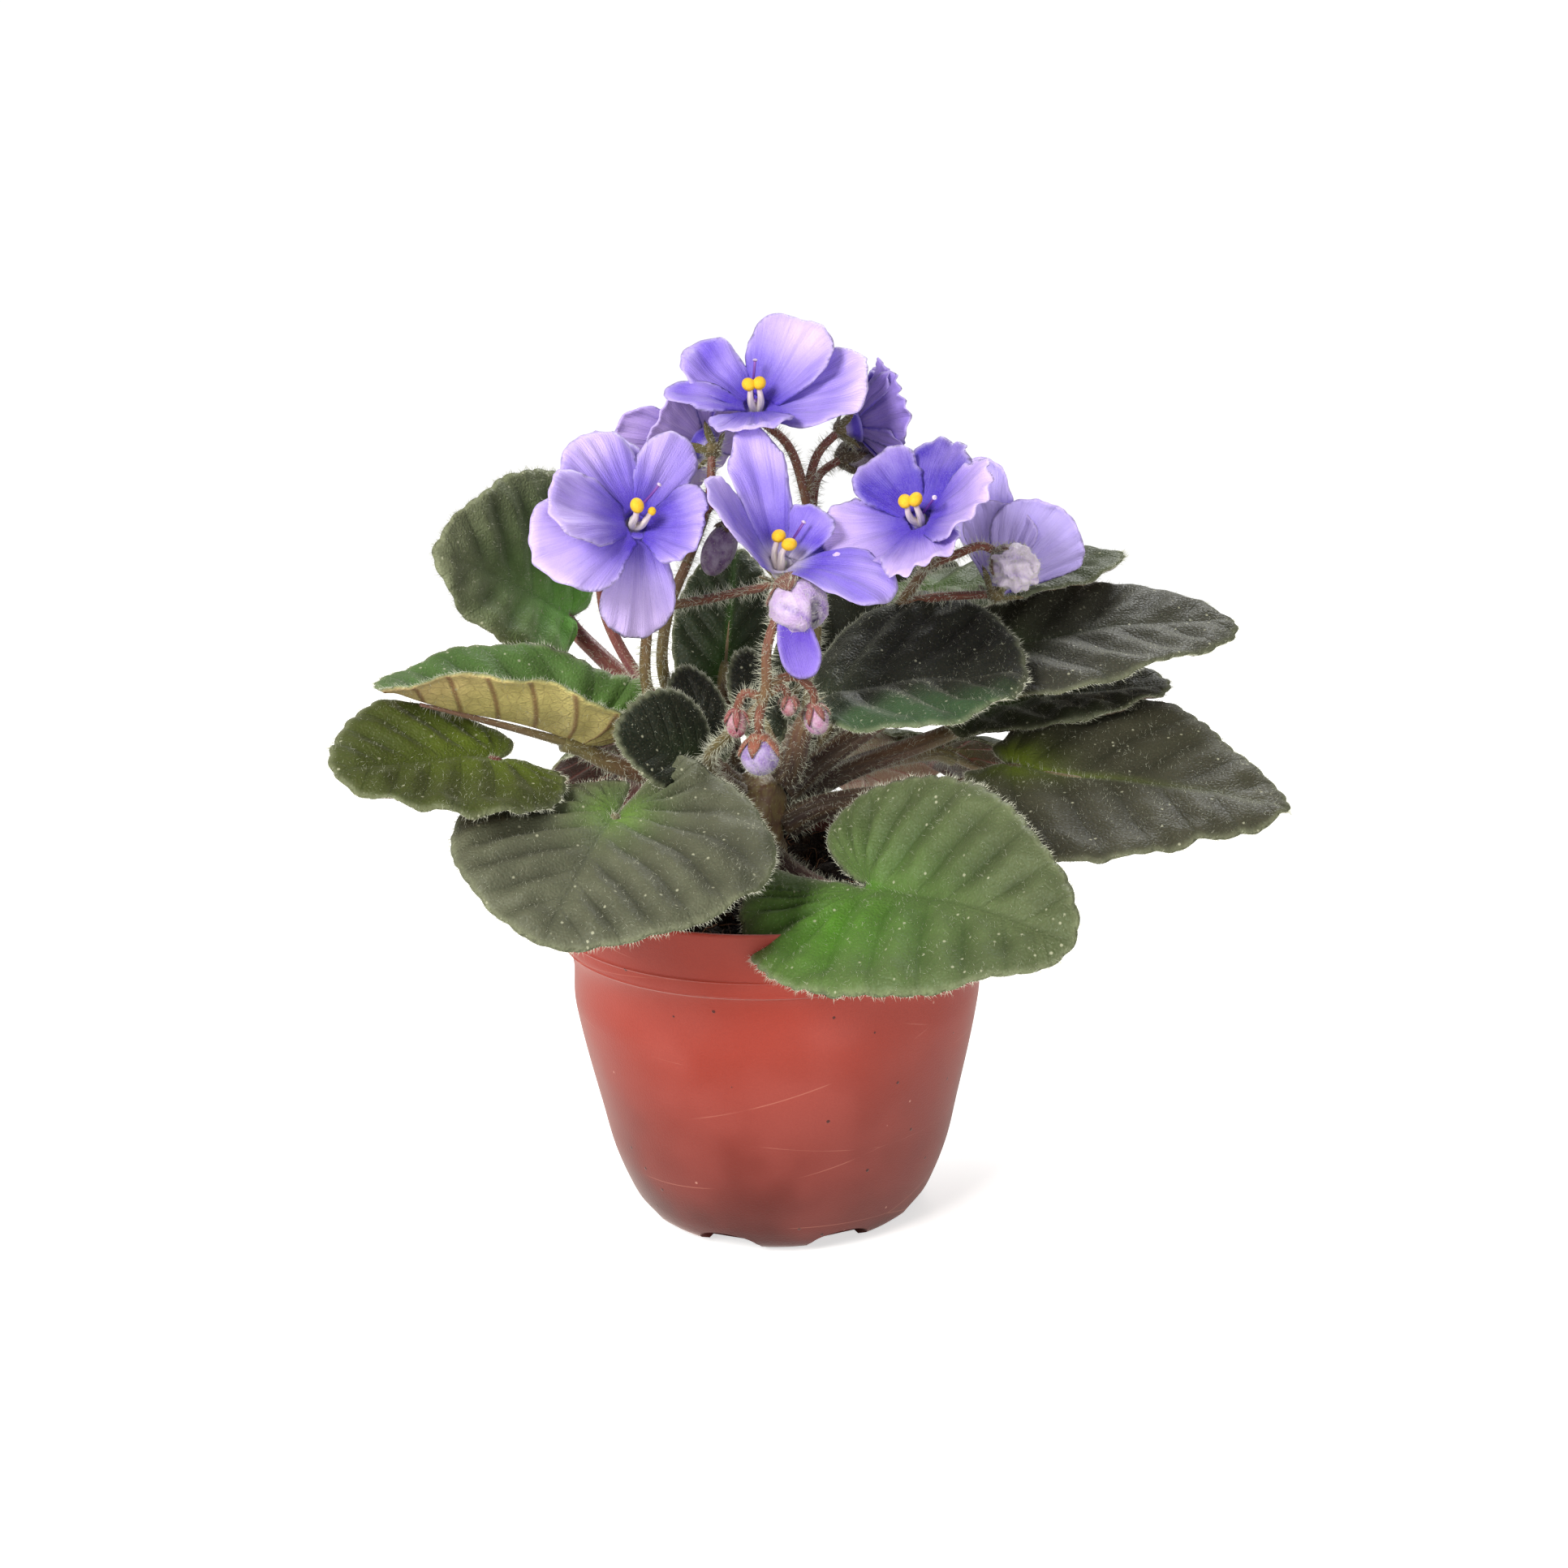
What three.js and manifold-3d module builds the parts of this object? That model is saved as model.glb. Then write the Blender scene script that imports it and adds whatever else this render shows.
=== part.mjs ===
// A potted African violet: nursery pot, compost, crown, leaves on their stalks, flower stalks, blooms and buds.
// Millimetres, +Z up. The origin is the centre of the pot's base, on the floor. -Y is the plant's front, and +X its
// right.
import * as THREE from "three";
import { mergeVertices } from "three/addons/utils/BufferGeometryUtils.js";
import Module from "manifold-3d";

const wasm = await Module();
wasm.setup();

// ---------------------------------------------------------------- driving dimensions
const GAP = 0.35; // air left between neighbouring pieces
const POT_HEIGHT = 72; // floor to rim
const POT_RIM_R = 45; // outside of the rim
const POT_WALL = 1.2;
const POT_NOTCHES = 8; // drain arches around the bottom corner
const NOTCH_WIDTH = 13;
const NOTCH_HEIGHT = 3.2;
const SOIL_TOP = 68;
const CROWN_X = -3; // the crown stands a little off the pot's axis
const CROWN_Y = 2;
const CROWN_R = 6.2;
const CROWN_FOOT = 58;
const CROWN_TOP = 91;
const BLADE_THICK = 1.3; // leaf blade at the middle
const STALK_R = 2.7; // leaf stalk, half thickness at the crown
const STEM_R = 1.45; // flower stalk
const PEDICEL_R = 0.95; // the branch that carries one flower
const PETAL_THICK = 0.9;
const THROAT_R = 3.0; // where the petals join

// outside of the pot from the rim down: [radius, height]
const POT_PROFILE = [
  [POT_RIM_R, POT_HEIGHT], [43.6, 62.4], [43.1, 61.8], [43.1, 59.2], [42.7, 58.6], [41.2, 45.5], [36.8, 23.6],
  [34.5, 13.7], [32.4, 8], [30.6, 4.2], [28.4, 1.4], [25.5, 0],
];
// inside of the pot from the rim down
const POT_INSIDE = [
  [POT_RIM_R - POT_WALL, POT_HEIGHT], [42.3, 62.4], [41.6, 59.2], [39.9, 45.5], [35.5, 23.6], [31, 9.4], [24.6, 2.8],
];
const DETAIL = 0.08; // ripples in a surface smaller than this are smoothed away

// Leaves. base: where blade and stalk meet; tip; left/right: half widths; backL/backR: lobes behind the joint;
// roll: turn about the midrib; arch: bend along the midrib; foldL/foldR: how far each half is folded up; lift: how
// much the lobes rise; point: how drawn out the tip is; notch: width of the notch at the stalk, and notchL the same
// on the left half where it differs; from: height on the crown where the stalk starts; flatL: share of the left
// half's fold that is gone at the tip; dip: how steeply the stalk comes up into the blade; rise: how far it climbs
// as it leaves the crown. Angles in degrees.
const LEAVES = {
  leaf_front_left: { base: [-29, -31, 92], tip: [-40, -66, 79], left: 28, right: 34, backL: 11, backR: 19,
    roll: 20, arch: 30, foldL: -10, foldR: 12, lift: 3, point: 0.07, notch: 0.14, notchL: 0.04, from: 78,
    dip: 62, rise: 0.05 },
  leaf_front_right: { base: [17, -41, 80], tip: [49, -78, 81], left: 27, right: 23, backL: 26, backR: 21,
    roll: -38, arch: 16, foldL: 11, foldR: 20, lift: 1, point: 0.2, notch: 0.3, notchL: 0.06, from: 74, dip: 55,
    rise: -0.03 },
  leaf_right: { base: [47, -8, 94], tip: [97, -29, 89], left: 30, right: 32, backL: 8, backR: 6, roll: -11,
    arch: 2, foldL: -6, foldR: 9, lift: 0, point: 0.3, notch: 0.5, from: 80, dip: 45 },
  leaf_right_upper: { base: [42, 15, 111], tip: [96, 16, 116], left: 25, right: 27, backL: 11, backR: 8,
    roll: -14, arch: 19, foldL: 3, foldR: 3, lift: 0, point: 0.2, notch: 0.5, from: 86 },
  leaf_centre_right: { base: [10, -4, 107], tip: [50, -11, 112], left: 24, right: 28, backL: 1, backR: 3,
    roll: -19, arch: 18, foldL: 12, foldR: 12, lift: 0, point: 0.02, notch: 0.3, from: 90 },
  leaf_left_upper: { base: [-42, 39, 117], tip: [-64, 1, 137], left: 28, right: 16, backL: 9, backR: 6,
    roll: 83, arch: 22, foldL: 14, foldR: 10, lift: 0, point: 0.12, notch: 0.45, from: 86 },
  leaf_left_low: { base: [-51.5, -22, 101.5], tip: [-78, -44, 104.5], left: 18, right: 22, backL: 7, backR: 11,
    roll: 25, arch: 12, foldL: 6, foldR: 9, lift: 3, point: 0.1, notch: 0.4, from: 79, dip: 60, rise: 0.1 },
  leaf_left_folded: { base: [-36.5, -8, 101], tip: [-71.5, -29, 117], left: 22, right: 18, backL: 16, backR: 16,
    roll: 0, arch: 3, foldL: 72, foldR: 42, lift: 8, point: 0.02, notch: 0.3, from: 84, flatL: 0.9 },
  leaf_left_behind: { base: [-34, 19, 129], tip: [-29, 0, 151], left: 12, right: 12, backL: 3, backR: 3,
    roll: 0, arch: 15, foldL: 6, foldR: 6, lift: 0, point: 0.05, notch: 0.4, from: 88 },
  leaf_middle: { base: [-9, 10, 108], tip: [-6, 27, 132.5], left: 15, right: 20, backL: 6, backR: 8, roll: 0,
    arch: 14, foldL: 6, foldR: 6, lift: 0, point: 0.02, notch: 0.4, from: 90 },
  leaf_young_back: { base: [-11, -5, 97], tip: [-17, 2, 113], left: 11, right: 14, backL: 3, backR: 4, roll: 20,
    arch: 16, foldL: 8, foldR: 8, lift: 0, point: 0.04, notch: 0.4, from: 90 },
  leaf_young_left: { base: [-14, -13, 97], tip: [-29, -20, 106], left: 13, right: 11, backL: 3, backR: 4,
    roll: 60, arch: 20, foldL: 10, foldR: 12, lift: 0, point: 0.04, notch: 0.4, from: 88 },
  leaf_young_right: { base: [0, 0, 99], tip: [-5, 8, 115], left: 10, right: 12, backL: 3, backR: 4, roll: 15,
    arch: 14, foldL: 8, foldR: 8, lift: 0, point: 0.04, notch: 0.4, from: 91 },
  leaf_right_under: { base: [44, 22, 98], tip: [82, 12, 104], left: 20, right: 18, backL: 8, backR: 8, roll: -8,
    arch: 10, foldL: 5, foldR: 5, lift: 0, point: 0.1, notch: 0.5, from: 82 },
  leaf_back_right: { base: [32, 38, 120], tip: [76, 36, 128], left: 20, right: 18, backL: 8, backR: 8, roll: -5,
    arch: -10, foldL: 5, foldR: 5, lift: 0, point: 0.08, notch: 0.5, from: 84 },
  leaf_back_middle: { base: [7, 44, 99], tip: [42, 60, 124], left: 18, right: 16, backL: 8, backR: 8, roll: -50,
    arch: 20, foldL: 6, foldR: 6, lift: 0, point: 0.06, notch: 0.5, from: 86 },
  leaf_back_low_left: { base: [-25, 44, 91], tip: [-42, 73, 61], left: 27, right: 27, backL: 9, backR: 9,
    roll: 4, arch: 26, foldL: 6, foldR: 6, lift: 0, point: 0.06, notch: 0.5, from: 80 },
  leaf_back_low: { base: [14, 42, 90], tip: [24, 86, 62], left: 26, right: 25, backL: 9, backR: 9, roll: -6,
    arch: 26, foldL: 6, foldR: 6, lift: 0, point: 0.08, notch: 0.5, from: 79 },
  leaf_back_low_right: { base: [37, 34, 87], tip: [70, 56, 60], left: 24, right: 24, backL: 9, backR: 9,
    roll: 15, arch: 24, foldL: 6, foldR: 6, lift: 0, point: 0.1, notch: 0.5, from: 80 },
};

// Blooms. at: throat; az: way it faces (0 is the front, 90 the right); el: how far it looks up; each petal is
// [angle round the throat, length, width, tilt forwards, curl, cupping].
const BLOOMS = {
  left: { at: [-24, -16, 144], az: 28, el: 32, petals: [[118, 17, 17, 14, -6, 15], [91, 18, 11, 3, -13, 15],
    [48, 18, 11, 16, -8, 15], [-30, 13, 17, 42, 8, 15], [-96, 20, 15, -15, -25, 15], [172, 19, 15, 26, -4, 15],
    [195, 21, 20, 7, -7, 15]] },
  top: { at: [-1, 8, 163], az: -4, el: 52, petals: [[144, 16, 13, 26, 0, 20], [50, 18, 19, 35, 0, 20],
    [-2, 22, 21, 11, 20, 15], [-89, 17, 17, 29, 7, 15], [188, 17, 8, 29, -13, 15]] },
  centre: { at: [3, -18, 136], az: 3, el: 64, petals: [[104, 26, 11, 45, -9, 20], [184, 21, 19, 48, 21, 20],
    [-34, 22, 14, 22, -38, 20], [44, 11.5, 12, 44, -8, 20], [18, 14, 12, 4, -12, 20]] },
  right: { at: [29, -14, 143], az: -30, el: 43, petals: [[138, 14, 13, 31, -2, 20], [80, 15, 13, 26, -21, 20],
    [-1, 19, 18, 32, 6, 20], [219, 17, 19, 16, 14, 15], [-61, 19, 16, 18, 19, 15]] },
  far_right: { at: [47, 8, 127], az: 144, el: 40, petals: [[62, 24, 19, 45, 0, 15], [89, 15, 17, 36, 0, 15],
    [141, 18, 20, 35, 0, 15], [-30, 15, 16, 50, 0, 15], [-100, 14, 16, 55, 0, 15]] },
  back_left: { at: [-12, 16, 155], az: 219, el: 19, petals: [[160, 14, 15, 16, 0, 15], [77, 9, 13, 23, 0, 15],
    [23, 12, 16, 7, 0, 15], [-8, 17, 17, 23, 0, 15], [232, 14, 19, 29, 0, 15]] },
  top_right: { at: [19, 14, 158], az: 100, el: 10, petals: [[90, 12, 15, 40, 0, 20], [18, 13, 15, 40, 0, 20],
    [-55, 13, 15, 35, 0, 20], [162, 13, 15, 40, 0, 20], [235, 12, 14, 35, 0, 20]] },
};

// Flower stalks. Each branch is [radius, points, what it ends in: a bloom, a bud or nothing].
const STALKS = {
  flower_stalk_left: [
    [STEM_R, [[-11, -1, 86], [-22, -5, 104], [-24, -5, 112], [-23, -6, 124], [-22, -9, 134]], "left"],
  ],
  flower_stalk_middle: [
    [STEM_R, [[-8, 8, 88], [-18, 6, 102], [-21, 2, 113], [-19, 2, 125], [-15, 4, 134], [-11, 9, 144]], "back_left"],
    [PEDICEL_R, [[-19, 2, 125], [-13, -2, 126.5], [-5, -8, 129], [0, -14, 131]], "centre"],
    [PEDICEL_R, [[-15.5, 3.5, 133], [-12, 5, 142], [-8.5, 5.5, 145]], "bud_drooping"],
  ],
  flower_stalk_front: [
    [STEM_R, [[-9, -5, 87], [-12, -13, 97], [-7, -22, 105], [-1, -26, 112], [0, -26, 122]], "bud_opening"],
    [PEDICEL_R, [[-1, -26, 112], [-4.5, -25.5, 113]], "bud_small_left"],
    [PEDICEL_R, [[0, -26, 113], [2.4, -25, 114]], "bud_small_middle"],
    [PEDICEL_R, [[0, -26, 115], [5, -24, 115.5], [8.4, -23, 112]], "bud_small_right"],
    [PEDICEL_R, [[-1.2, -26, 111], [-2, -29, 109]], "bud_hanging"],
  ],
  flower_stalk_top: [
    [STEM_R, [[5, 7, 90], [9, 10, 110], [10, 9, 130], [8, 8, 146], [5, 9, 155]], "top"],
    [PEDICEL_R, [[8.5, 8, 146], [11, 11, 153]], "top_right"],
    [PEDICEL_R, [[9.2, 8.5, 139], [11, 14, 148]], "bud_dark"],
  ],
  flower_stalk_right: [
    [STEM_R, [[7, 5, 88], [16, 15, 104], [25, 17, 118], [31, 8, 129], [33, -2, 136]], "right"],
    [PEDICEL_R, [[27, 14.5, 122], [35, 9, 124]], "far_right"],
    [PEDICEL_R, [[31.5, 6, 130.5], [37, -1, 134], [42, -4, 136]], "bud_right"],
  ],
};

// Closed buds. at: middle; size: half lengths across, across and along; to: the way the bud points; flap: a petal
// that has opened, from its root to its end, and its width
const BUDS = {
  bud_right: { at: [48, -7, 132], size: [4.3, 4.3, 4.6], to: [0.55, -0.7, -0.45] },
  bud_opening: { at: [6, -23, 128.5], size: [5.6, 5.4, 5.2], to: [0.3, -0.4, -0.8],
    flap: [[4.5, -25.5, 126], [7, -27, 116.5], 9] },
  bud_hanging: { at: [-2, -28.5, 101.5], size: [3.6, 3.6, 3.6], to: [0, -0.1, -1] },
  bud_small_left: { at: [-6.2, -25, 107], size: [2, 2, 2.7], to: [0, 0, -1] },
  bud_small_middle: { at: [3.6, -24.6, 110], size: [1.6, 1.6, 1.9], to: [0, 0, -1] },
  bud_small_right: { at: [8.8, -22.6, 106.8], size: [2.4, 2.4, 2.9], to: [0.2, 0, -1] },
  bud_dark: { at: [19.5, 20.5, 151.5], size: [3.6, 3.6, 4.4], to: [1, 0.6, 0.1] },
  bud_drooping: { at: [-9, 3.5, 135.5], size: [3.4, 3.2, 5.4], to: [-0.5, -0.2, -1] },
};

// ---------------------------------------------------------------- helpers
const V = (a) => new THREE.Vector3(...a);
const rad = THREE.MathUtils.degToRad;
const Z = V([0, 0, 1]);

// merges a primitive's shared points, so that it can be bent without tearing
function welded(geometry) {
  const g = geometry.index ? geometry.clone() : geometry;
  g.deleteAttribute("normal");
  g.deleteAttribute("uv");
  return mergeVertices(g, 1e-4);
}

// moves every point of a welded geometry by a function
function bend(geometry, where) {
  const g = welded(geometry);
  const p = g.attributes.position;
  for (let i = 0; i < p.count; i++) {
    const q = where(new THREE.Vector3().fromBufferAttribute(p, i));
    p.setXYZ(i, q.x, q.y, q.z);
  }
  return g;
}

// a welded geometry as a solid, turned right side out
function solid(geometry) {
  const g = welded(geometry);
  const p = g.attributes.position.array;
  const t = Uint32Array.from(g.index.array);
  let volume = 0;
  for (let i = 0; i < t.length; i += 3) {
    const [a, b, c] = [0, 1, 2].map((k) => new THREE.Vector3().fromArray(p, 3 * t[i + k]));
    volume += a.dot(b.cross(c));
  }
  if (volume < 0) for (let i = 0; i < t.length; i += 3) [t[i], t[i + 1]] = [t[i + 1], t[i]];
  return new wasm.Manifold(new wasm.Mesh({ numProp: 3, vertProperties: Float32Array.from(p), triVerts: t }));
}

const join = (solids) => solids.reduce((a, b) => a.add(b));

function ball(at, size, to = Z, segments = 10, rings = 6) {
  const g = new THREE.SphereGeometry(1, segments, rings);
  g.rotateX(Math.PI / 2);
  g.scale(...size);
  g.applyQuaternion(new THREE.Quaternion().setFromUnitVectors(Z, to.clone().normalize()));
  g.translate(at.x, at.y, at.z);
  return solid(g);
}

// a round stem along a curve, r0 thick at its start and r1 at its end
function stem(curve, r0, r1, steps, sides = 6) {
  const corner = (i) => new THREE.Vector2(1, 0).rotateAround(new THREE.Vector2(), (i * 2 * Math.PI) / sides);
  const ring = new THREE.Shape(Array.from({ length: sides }, (_, i) => corner(i)));
  const g = new THREE.ExtrudeGeometry(ring, { extrudePath: curve, steps, bevelEnabled: false });
  const centres = curve.getSpacedPoints(steps);
  return solid(bend(g, (q) => {
    let best = 0;
    for (let i = 1; i <= steps; i++) if (q.distanceTo(centres[i]) < q.distanceTo(centres[best])) best = i;
    const radius = r0 + (r1 - r0) * (best / steps);
    return q.sub(centres[best]).multiplyScalar(radius).add(centres[best]);
  }));
}

// ---------------------------------------------------------------- leaves
// the blade's own axes at its joint: forwards to the tip, to its side, and out of its upper face
function leafFrame(leaf) {
  const f = V(leaf.tip).sub(V(leaf.base)).normalize();
  const s0 = f.clone().cross(Z).normalize();
  const n0 = s0.clone().cross(f);
  const r = rad(leaf.roll);
  const s = s0.clone().multiplyScalar(Math.cos(r)).addScaledVector(n0, Math.sin(r));
  const n = n0.clone().multiplyScalar(Math.cos(r)).addScaledVector(s0, -Math.sin(r));
  return { f, s, n };
}

// the sheet that the blade lies on: a along the midrib, v across it
function sheet(leaf) {
  const { f, s, n } = leafFrame(leaf);
  const base = V(leaf.base);
  const chord = base.distanceTo(V(leaf.tip));
  const arch = Math.abs(leaf.arch) < 0.1 ? 0.002 : rad(leaf.arch);
  const k = (2 * Math.sin(arch / 2)) / chord;
  const length = arch / k;
  const at = (a, v) => {
    const front = Math.max(a, 0);
    const back = Math.min(a, 0);
    const turn = arch / 2 - k * front;
    const x = (Math.sin(arch / 2) - Math.sin(turn)) / k + back * Math.cos(arch / 2);
    const z = (Math.cos(turn) - Math.cos(arch / 2)) / k + back * Math.sin(arch / 2);
    const up = f.clone().multiplyScalar(-Math.sin(turn)).addScaledVector(n, Math.cos(turn));
    const flatter = v > 0 ? (leaf.flatL ?? 0) : 0;
    const open = Math.max(0, 1 - (flatter * front) / length);
    const fold = rad(v > 0 ? leaf.foldL : leaf.foldR) * open;
    const run = Math.sqrt(v * v + 9) - 3;
    const side = v - Math.sign(v) * run * (1 - Math.cos(fold));
    const rise = run * Math.sin(fold) + leaf.lift * (back / 12) ** 2;
    const onMidrib = base.clone().addScaledVector(f, x).addScaledVector(n, z);
    return onMidrib.addScaledVector(s, side).addScaledVector(up, rise);
  };
  return { at, length };
}

// distance from the joint to the margin, towards angle (0 is the tip, positive the left half)
function margin(leaf, length, angle) {
  const back = angle > 0 ? leaf.backL : leaf.backR;
  const half = angle > 0 ? leaf.left : leaf.right;
  const l = length / (1 + leaf.point);
  const a = (l + back) / 2;
  const c = l - a;
  const [ct, st] = [Math.cos(angle), Math.sin(angle)];
  const A = (ct / a) ** 2 + (st / half) ** 2;
  const B = (-2 * c * ct) / a ** 2;
  const C = (c / a) ** 2 - 1;
  const oval = (-B + Math.sqrt(Math.max(B * B - 4 * A * C, 0))) / (2 * A);
  const gap = angle > 0 ? (leaf.notchL ?? leaf.notch) : leaf.notch;
  const notch = 1 - 0.94 * Math.exp(-(((Math.PI - Math.abs(angle)) / gap) ** 2));
  return oval * notch * (1 + leaf.point * Math.exp(-((angle / 0.3) ** 2)));
}

// a flattened ball pulled out to the leaf's outline and laid on its sheet
function blade(leaf, grow) {
  const { at, length } = sheet(leaf);
  const big = length > 30;
  const ball = new THREE.SphereGeometry(1, big ? 22 : 16, 4);
  ball.rotateX(Math.PI / 2);
  return solid(bend(ball, (q) => {
    const spread = Math.acos(THREE.MathUtils.clamp(Math.abs(q.z), 0, 1)) / (Math.PI / 2);
    const t = Math.atan2(q.y, q.x);
    const angle = spread < 1e-6 ? 0 : t + 0.4 * Math.sin(t);
    const r = spread * (margin(leaf, length, angle) + grow);
    const [a, v] = [r * Math.cos(angle), r * Math.sin(angle)];
    const d = 0.05;
    const along = at(a + d, v).sub(at(a - d, v));
    const out = at(a, v + d).sub(at(a, v - d)).cross(along).normalize();
    const half = (BLADE_THICK / 2) * Math.sqrt(Math.max(0, 1 - spread ** 3)) + (spread < 0.999 ? grow : 0);
    return at(a, v).addScaledVector(out, Math.sign(Math.abs(q.z) < 1e-3 ? 0 : q.z) * half);
  }));
}

// the leaf stalk: out of the crown, up in a bow, and into the blade from below
function leafStalk(leaf) {
  const { at, length } = sheet(leaf);
  const base = V(leaf.base);
  const { n } = leafFrame(leaf);
  const way = at(0.5, 0).sub(base).normalize();
  const out = new THREE.Vector3(base.x - CROWN_X, base.y - CROWN_Y, 0).normalize();
  const start = new THREE.Vector3(CROWN_X, CROWN_Y, leaf.from).addScaledVector(out, CROWN_R + GAP);
  const reach = start.distanceTo(base);
  const first = start.clone().addScaledVector(out, 0.22 * reach).addScaledVector(Z, (leaf.rise ?? 0.18) * reach);
  const dip = rad(leaf.dip ?? 25);
  const arrive = way.clone().multiplyScalar(Math.cos(dip)).addScaledVector(n, Math.sin(dip));
  const last = base.clone().addScaledVector(arrive, -0.35 * reach);
  const end = at(1.5, 0).addScaledVector(n, -1.2);
  const curve = new THREE.CatmullRomCurve3([
    ...new THREE.CubicBezierCurve3(start, first, last, base).getPoints(6), end,
  ]);
  return { curve, length };
}

function leafSolid(leaf, grow) {
  const { curve, length } = leafStalk(leaf);
  const size = length > 30 ? 1 : 0.62;
  return blade(leaf, grow).add(stem(curve, STALK_R * size + grow, STALK_R * 0.55 * size + grow, 6, 5));
}

// ---------------------------------------------------------------- blooms
function bloomFrame(bloom) {
  const [a, e] = [rad(bloom.az), rad(bloom.el)];
  const n = new THREE.Vector3(Math.sin(a) * Math.cos(e), -Math.cos(a) * Math.cos(e), Math.sin(e));
  const r = new THREE.Vector3(Math.cos(a), Math.sin(a), 0);
  return { r, u: n.clone().cross(r), n };
}

// half width of a petal along its length, as a share of the widest
function petalWidth(u) {
  if (u > 0.56) return Math.sqrt(Math.max(0, 1 - ((u - 0.56) / 0.44) ** 2.3));
  return 0.42 + 0.58 * Math.sin(((u / 0.56) * Math.PI) / 2) ** 1.3;
}

function petal(bloom, [angle, length, width, tilt, curl, cup], grow) {
  const { r, u: upright, n } = bloomFrame(bloom);
  const d = r.clone().multiplyScalar(Math.cos(rad(angle))).addScaledVector(upright, Math.sin(rad(angle)));
  const s = r.clone().multiplyScalar(-Math.sin(rad(angle))).addScaledVector(upright, Math.cos(rad(angle)));
  const round = new THREE.SphereGeometry(1, 10, 4);
  round.rotateX(Math.PI / 2);
  return solid(bend(round, (q) => {
    const spread = Math.acos(THREE.MathUtils.clamp(Math.abs(q.z), 0, 1)) / (Math.PI / 2);
    const flat = Math.hypot(q.x, q.y) || 1;
    const [x, y] = [(q.x / flat) * spread, (q.y / flat) * spread];
    const u = (x + 1) / 2;
    const v = Math.abs(x) > 0.999 ? 0 : y / Math.sqrt(1 - x * x);
    const k = rad(curl) / length || 1e-6;
    const turn = rad(tilt) + k * u * (length + grow);
    const out = (Math.sin(turn) - Math.sin(rad(tilt))) / k;
    const up = (Math.cos(rad(tilt)) - Math.cos(turn)) / k;
    const w = ((width / 2 + grow) * petalWidth(u)) * v;
    const bow = rad(cup) / (width / 2);
    const lift = (1 - Math.cos(bow * w)) / bow;
    const half = (PETAL_THICK / 2) * Math.sqrt(Math.max(0, 1 - spread ** 3)) + (spread < 0.999 ? grow : 0);
    const rise = lift + Math.sign(Math.abs(q.z) < 1e-3 ? 0 : q.z) * half;
    return V(bloom.at).addScaledVector(d, 2 + out - Math.sin(turn) * rise)
      .addScaledVector(n, up + Math.cos(turn) * rise).addScaledVector(s, Math.sin(bow * w) / bow);
  }));
}

function corolla(bloom, grow) {
  const { n } = bloomFrame(bloom);
  const throat = ball(V(bloom.at), [THROAT_R + grow, THROAT_R + grow, 1 + grow], n, 8, 4);
  return join([throat, ...bloom.petals.map((p) => petal(bloom, p, grow))]);
}

// two fat anthers side by side on short bowed filaments
function stamens(bloom, grow) {
  const { r, u, n } = bloomFrame(bloom);
  const at = (x, y, z) => V(bloom.at).addScaledVector(r, x).addScaledVector(u, y).addScaledVector(n, z);
  const size = [1.35 + grow, 1.1 + grow, 1.5 + grow];
  const lobes = [-1, 1].map((side) => ball(at(side * 1.0, 0.6, 5), size, u, 6, 4));
  const filaments = [-1, 1].map((side) => stem(new THREE.CatmullRomCurve3(
    [at(side * 0.5, -0.4, 1.4), at(side * 1.6, -0.6, 3), at(side * 1.1, 0.4, 4.8)]), 0.5 + grow, 0.45 + grow, 2, 4));
  return join([...lobes, ...filaments]);
}

// the thin style that leans out to one side
function pistil(bloom, grow) {
  const { r, u, n } = bloomFrame(bloom);
  const at = (x, y, z) => V(bloom.at).addScaledVector(r, x).addScaledVector(u, y).addScaledVector(n, z);
  const style = stem(new THREE.CatmullRomCurve3([at(0.6, 1.6, 1.3), at(2.6, 2.4, 4), at(4.4, 3.4, 6.6)]),
    0.4 + grow, 0.35 + grow, 3, 4);
  return style.add(ball(at(4.4, 3.4, 6.6), [0.55 + grow, 0.55 + grow, 0.5 + grow], n, 5, 4));
}

// ---------------------------------------------------------------- flower stalks and buds
// the green cup with five narrow sepals behind a bloom or bud
function calyx(at, to, r, grow) {
  const cup = ball(at, [r + grow, r + grow, r * 0.8 + grow], to, 6, 4);
  const turn = new THREE.Quaternion().setFromUnitVectors(Z, to.clone().normalize());
  const sepals = [0, 1, 2, 3, 4].map((i) => {
    const sepal = new THREE.ConeGeometry(r * 0.4 + grow, r * 1.7 + grow, 4);
    sepal.translate(0, r * 0.85, 0).rotateX(0.5); // from its root, leaning up
    sepal.translate(0, r * 0.6, 0).rotateZ((i * 2 * Math.PI) / 5).applyQuaternion(turn);
    return solid(sepal.translate(at.x, at.y, at.z));
  });
  return join([cup, ...sepals]);
}

// the small cup that holds a closed bud, and the branch's last point inside it
function budCup(bud, grow) {
  const to = V(bud.to).normalize();
  const seat = V(bud.at).addScaledVector(to, -bud.size[2] * 0.95);
  const [x, y, z] = bud.size;
  return { seat, cup: ball(seat, [x * 0.55 + grow, y * 0.55 + grow, z * 0.3 + grow], to, 6, 4) };
}

function bloomCup(bloom, grow) {
  const { n } = bloomFrame(bloom);
  const seat = V(bloom.at).addScaledVector(n, -3.4);
  return { seat, cup: calyx(seat, n, 1.9, grow) };
}

function flowerStalk(branches, grow) {
  return join(branches.flatMap(([r, points, ends]) => {
    const { seat, cup } = ends in BLOOMS ? bloomCup(BLOOMS[ends], grow) : budCup(BUDS[ends], grow);
    const curve = new THREE.CatmullRomCurve3([...points.map(V), seat]);
    return [stem(curve, r + grow, Math.min(r, PEDICEL_R) * 0.85 + grow, points.length + 2, 5), cup];
  }));
}

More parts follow.
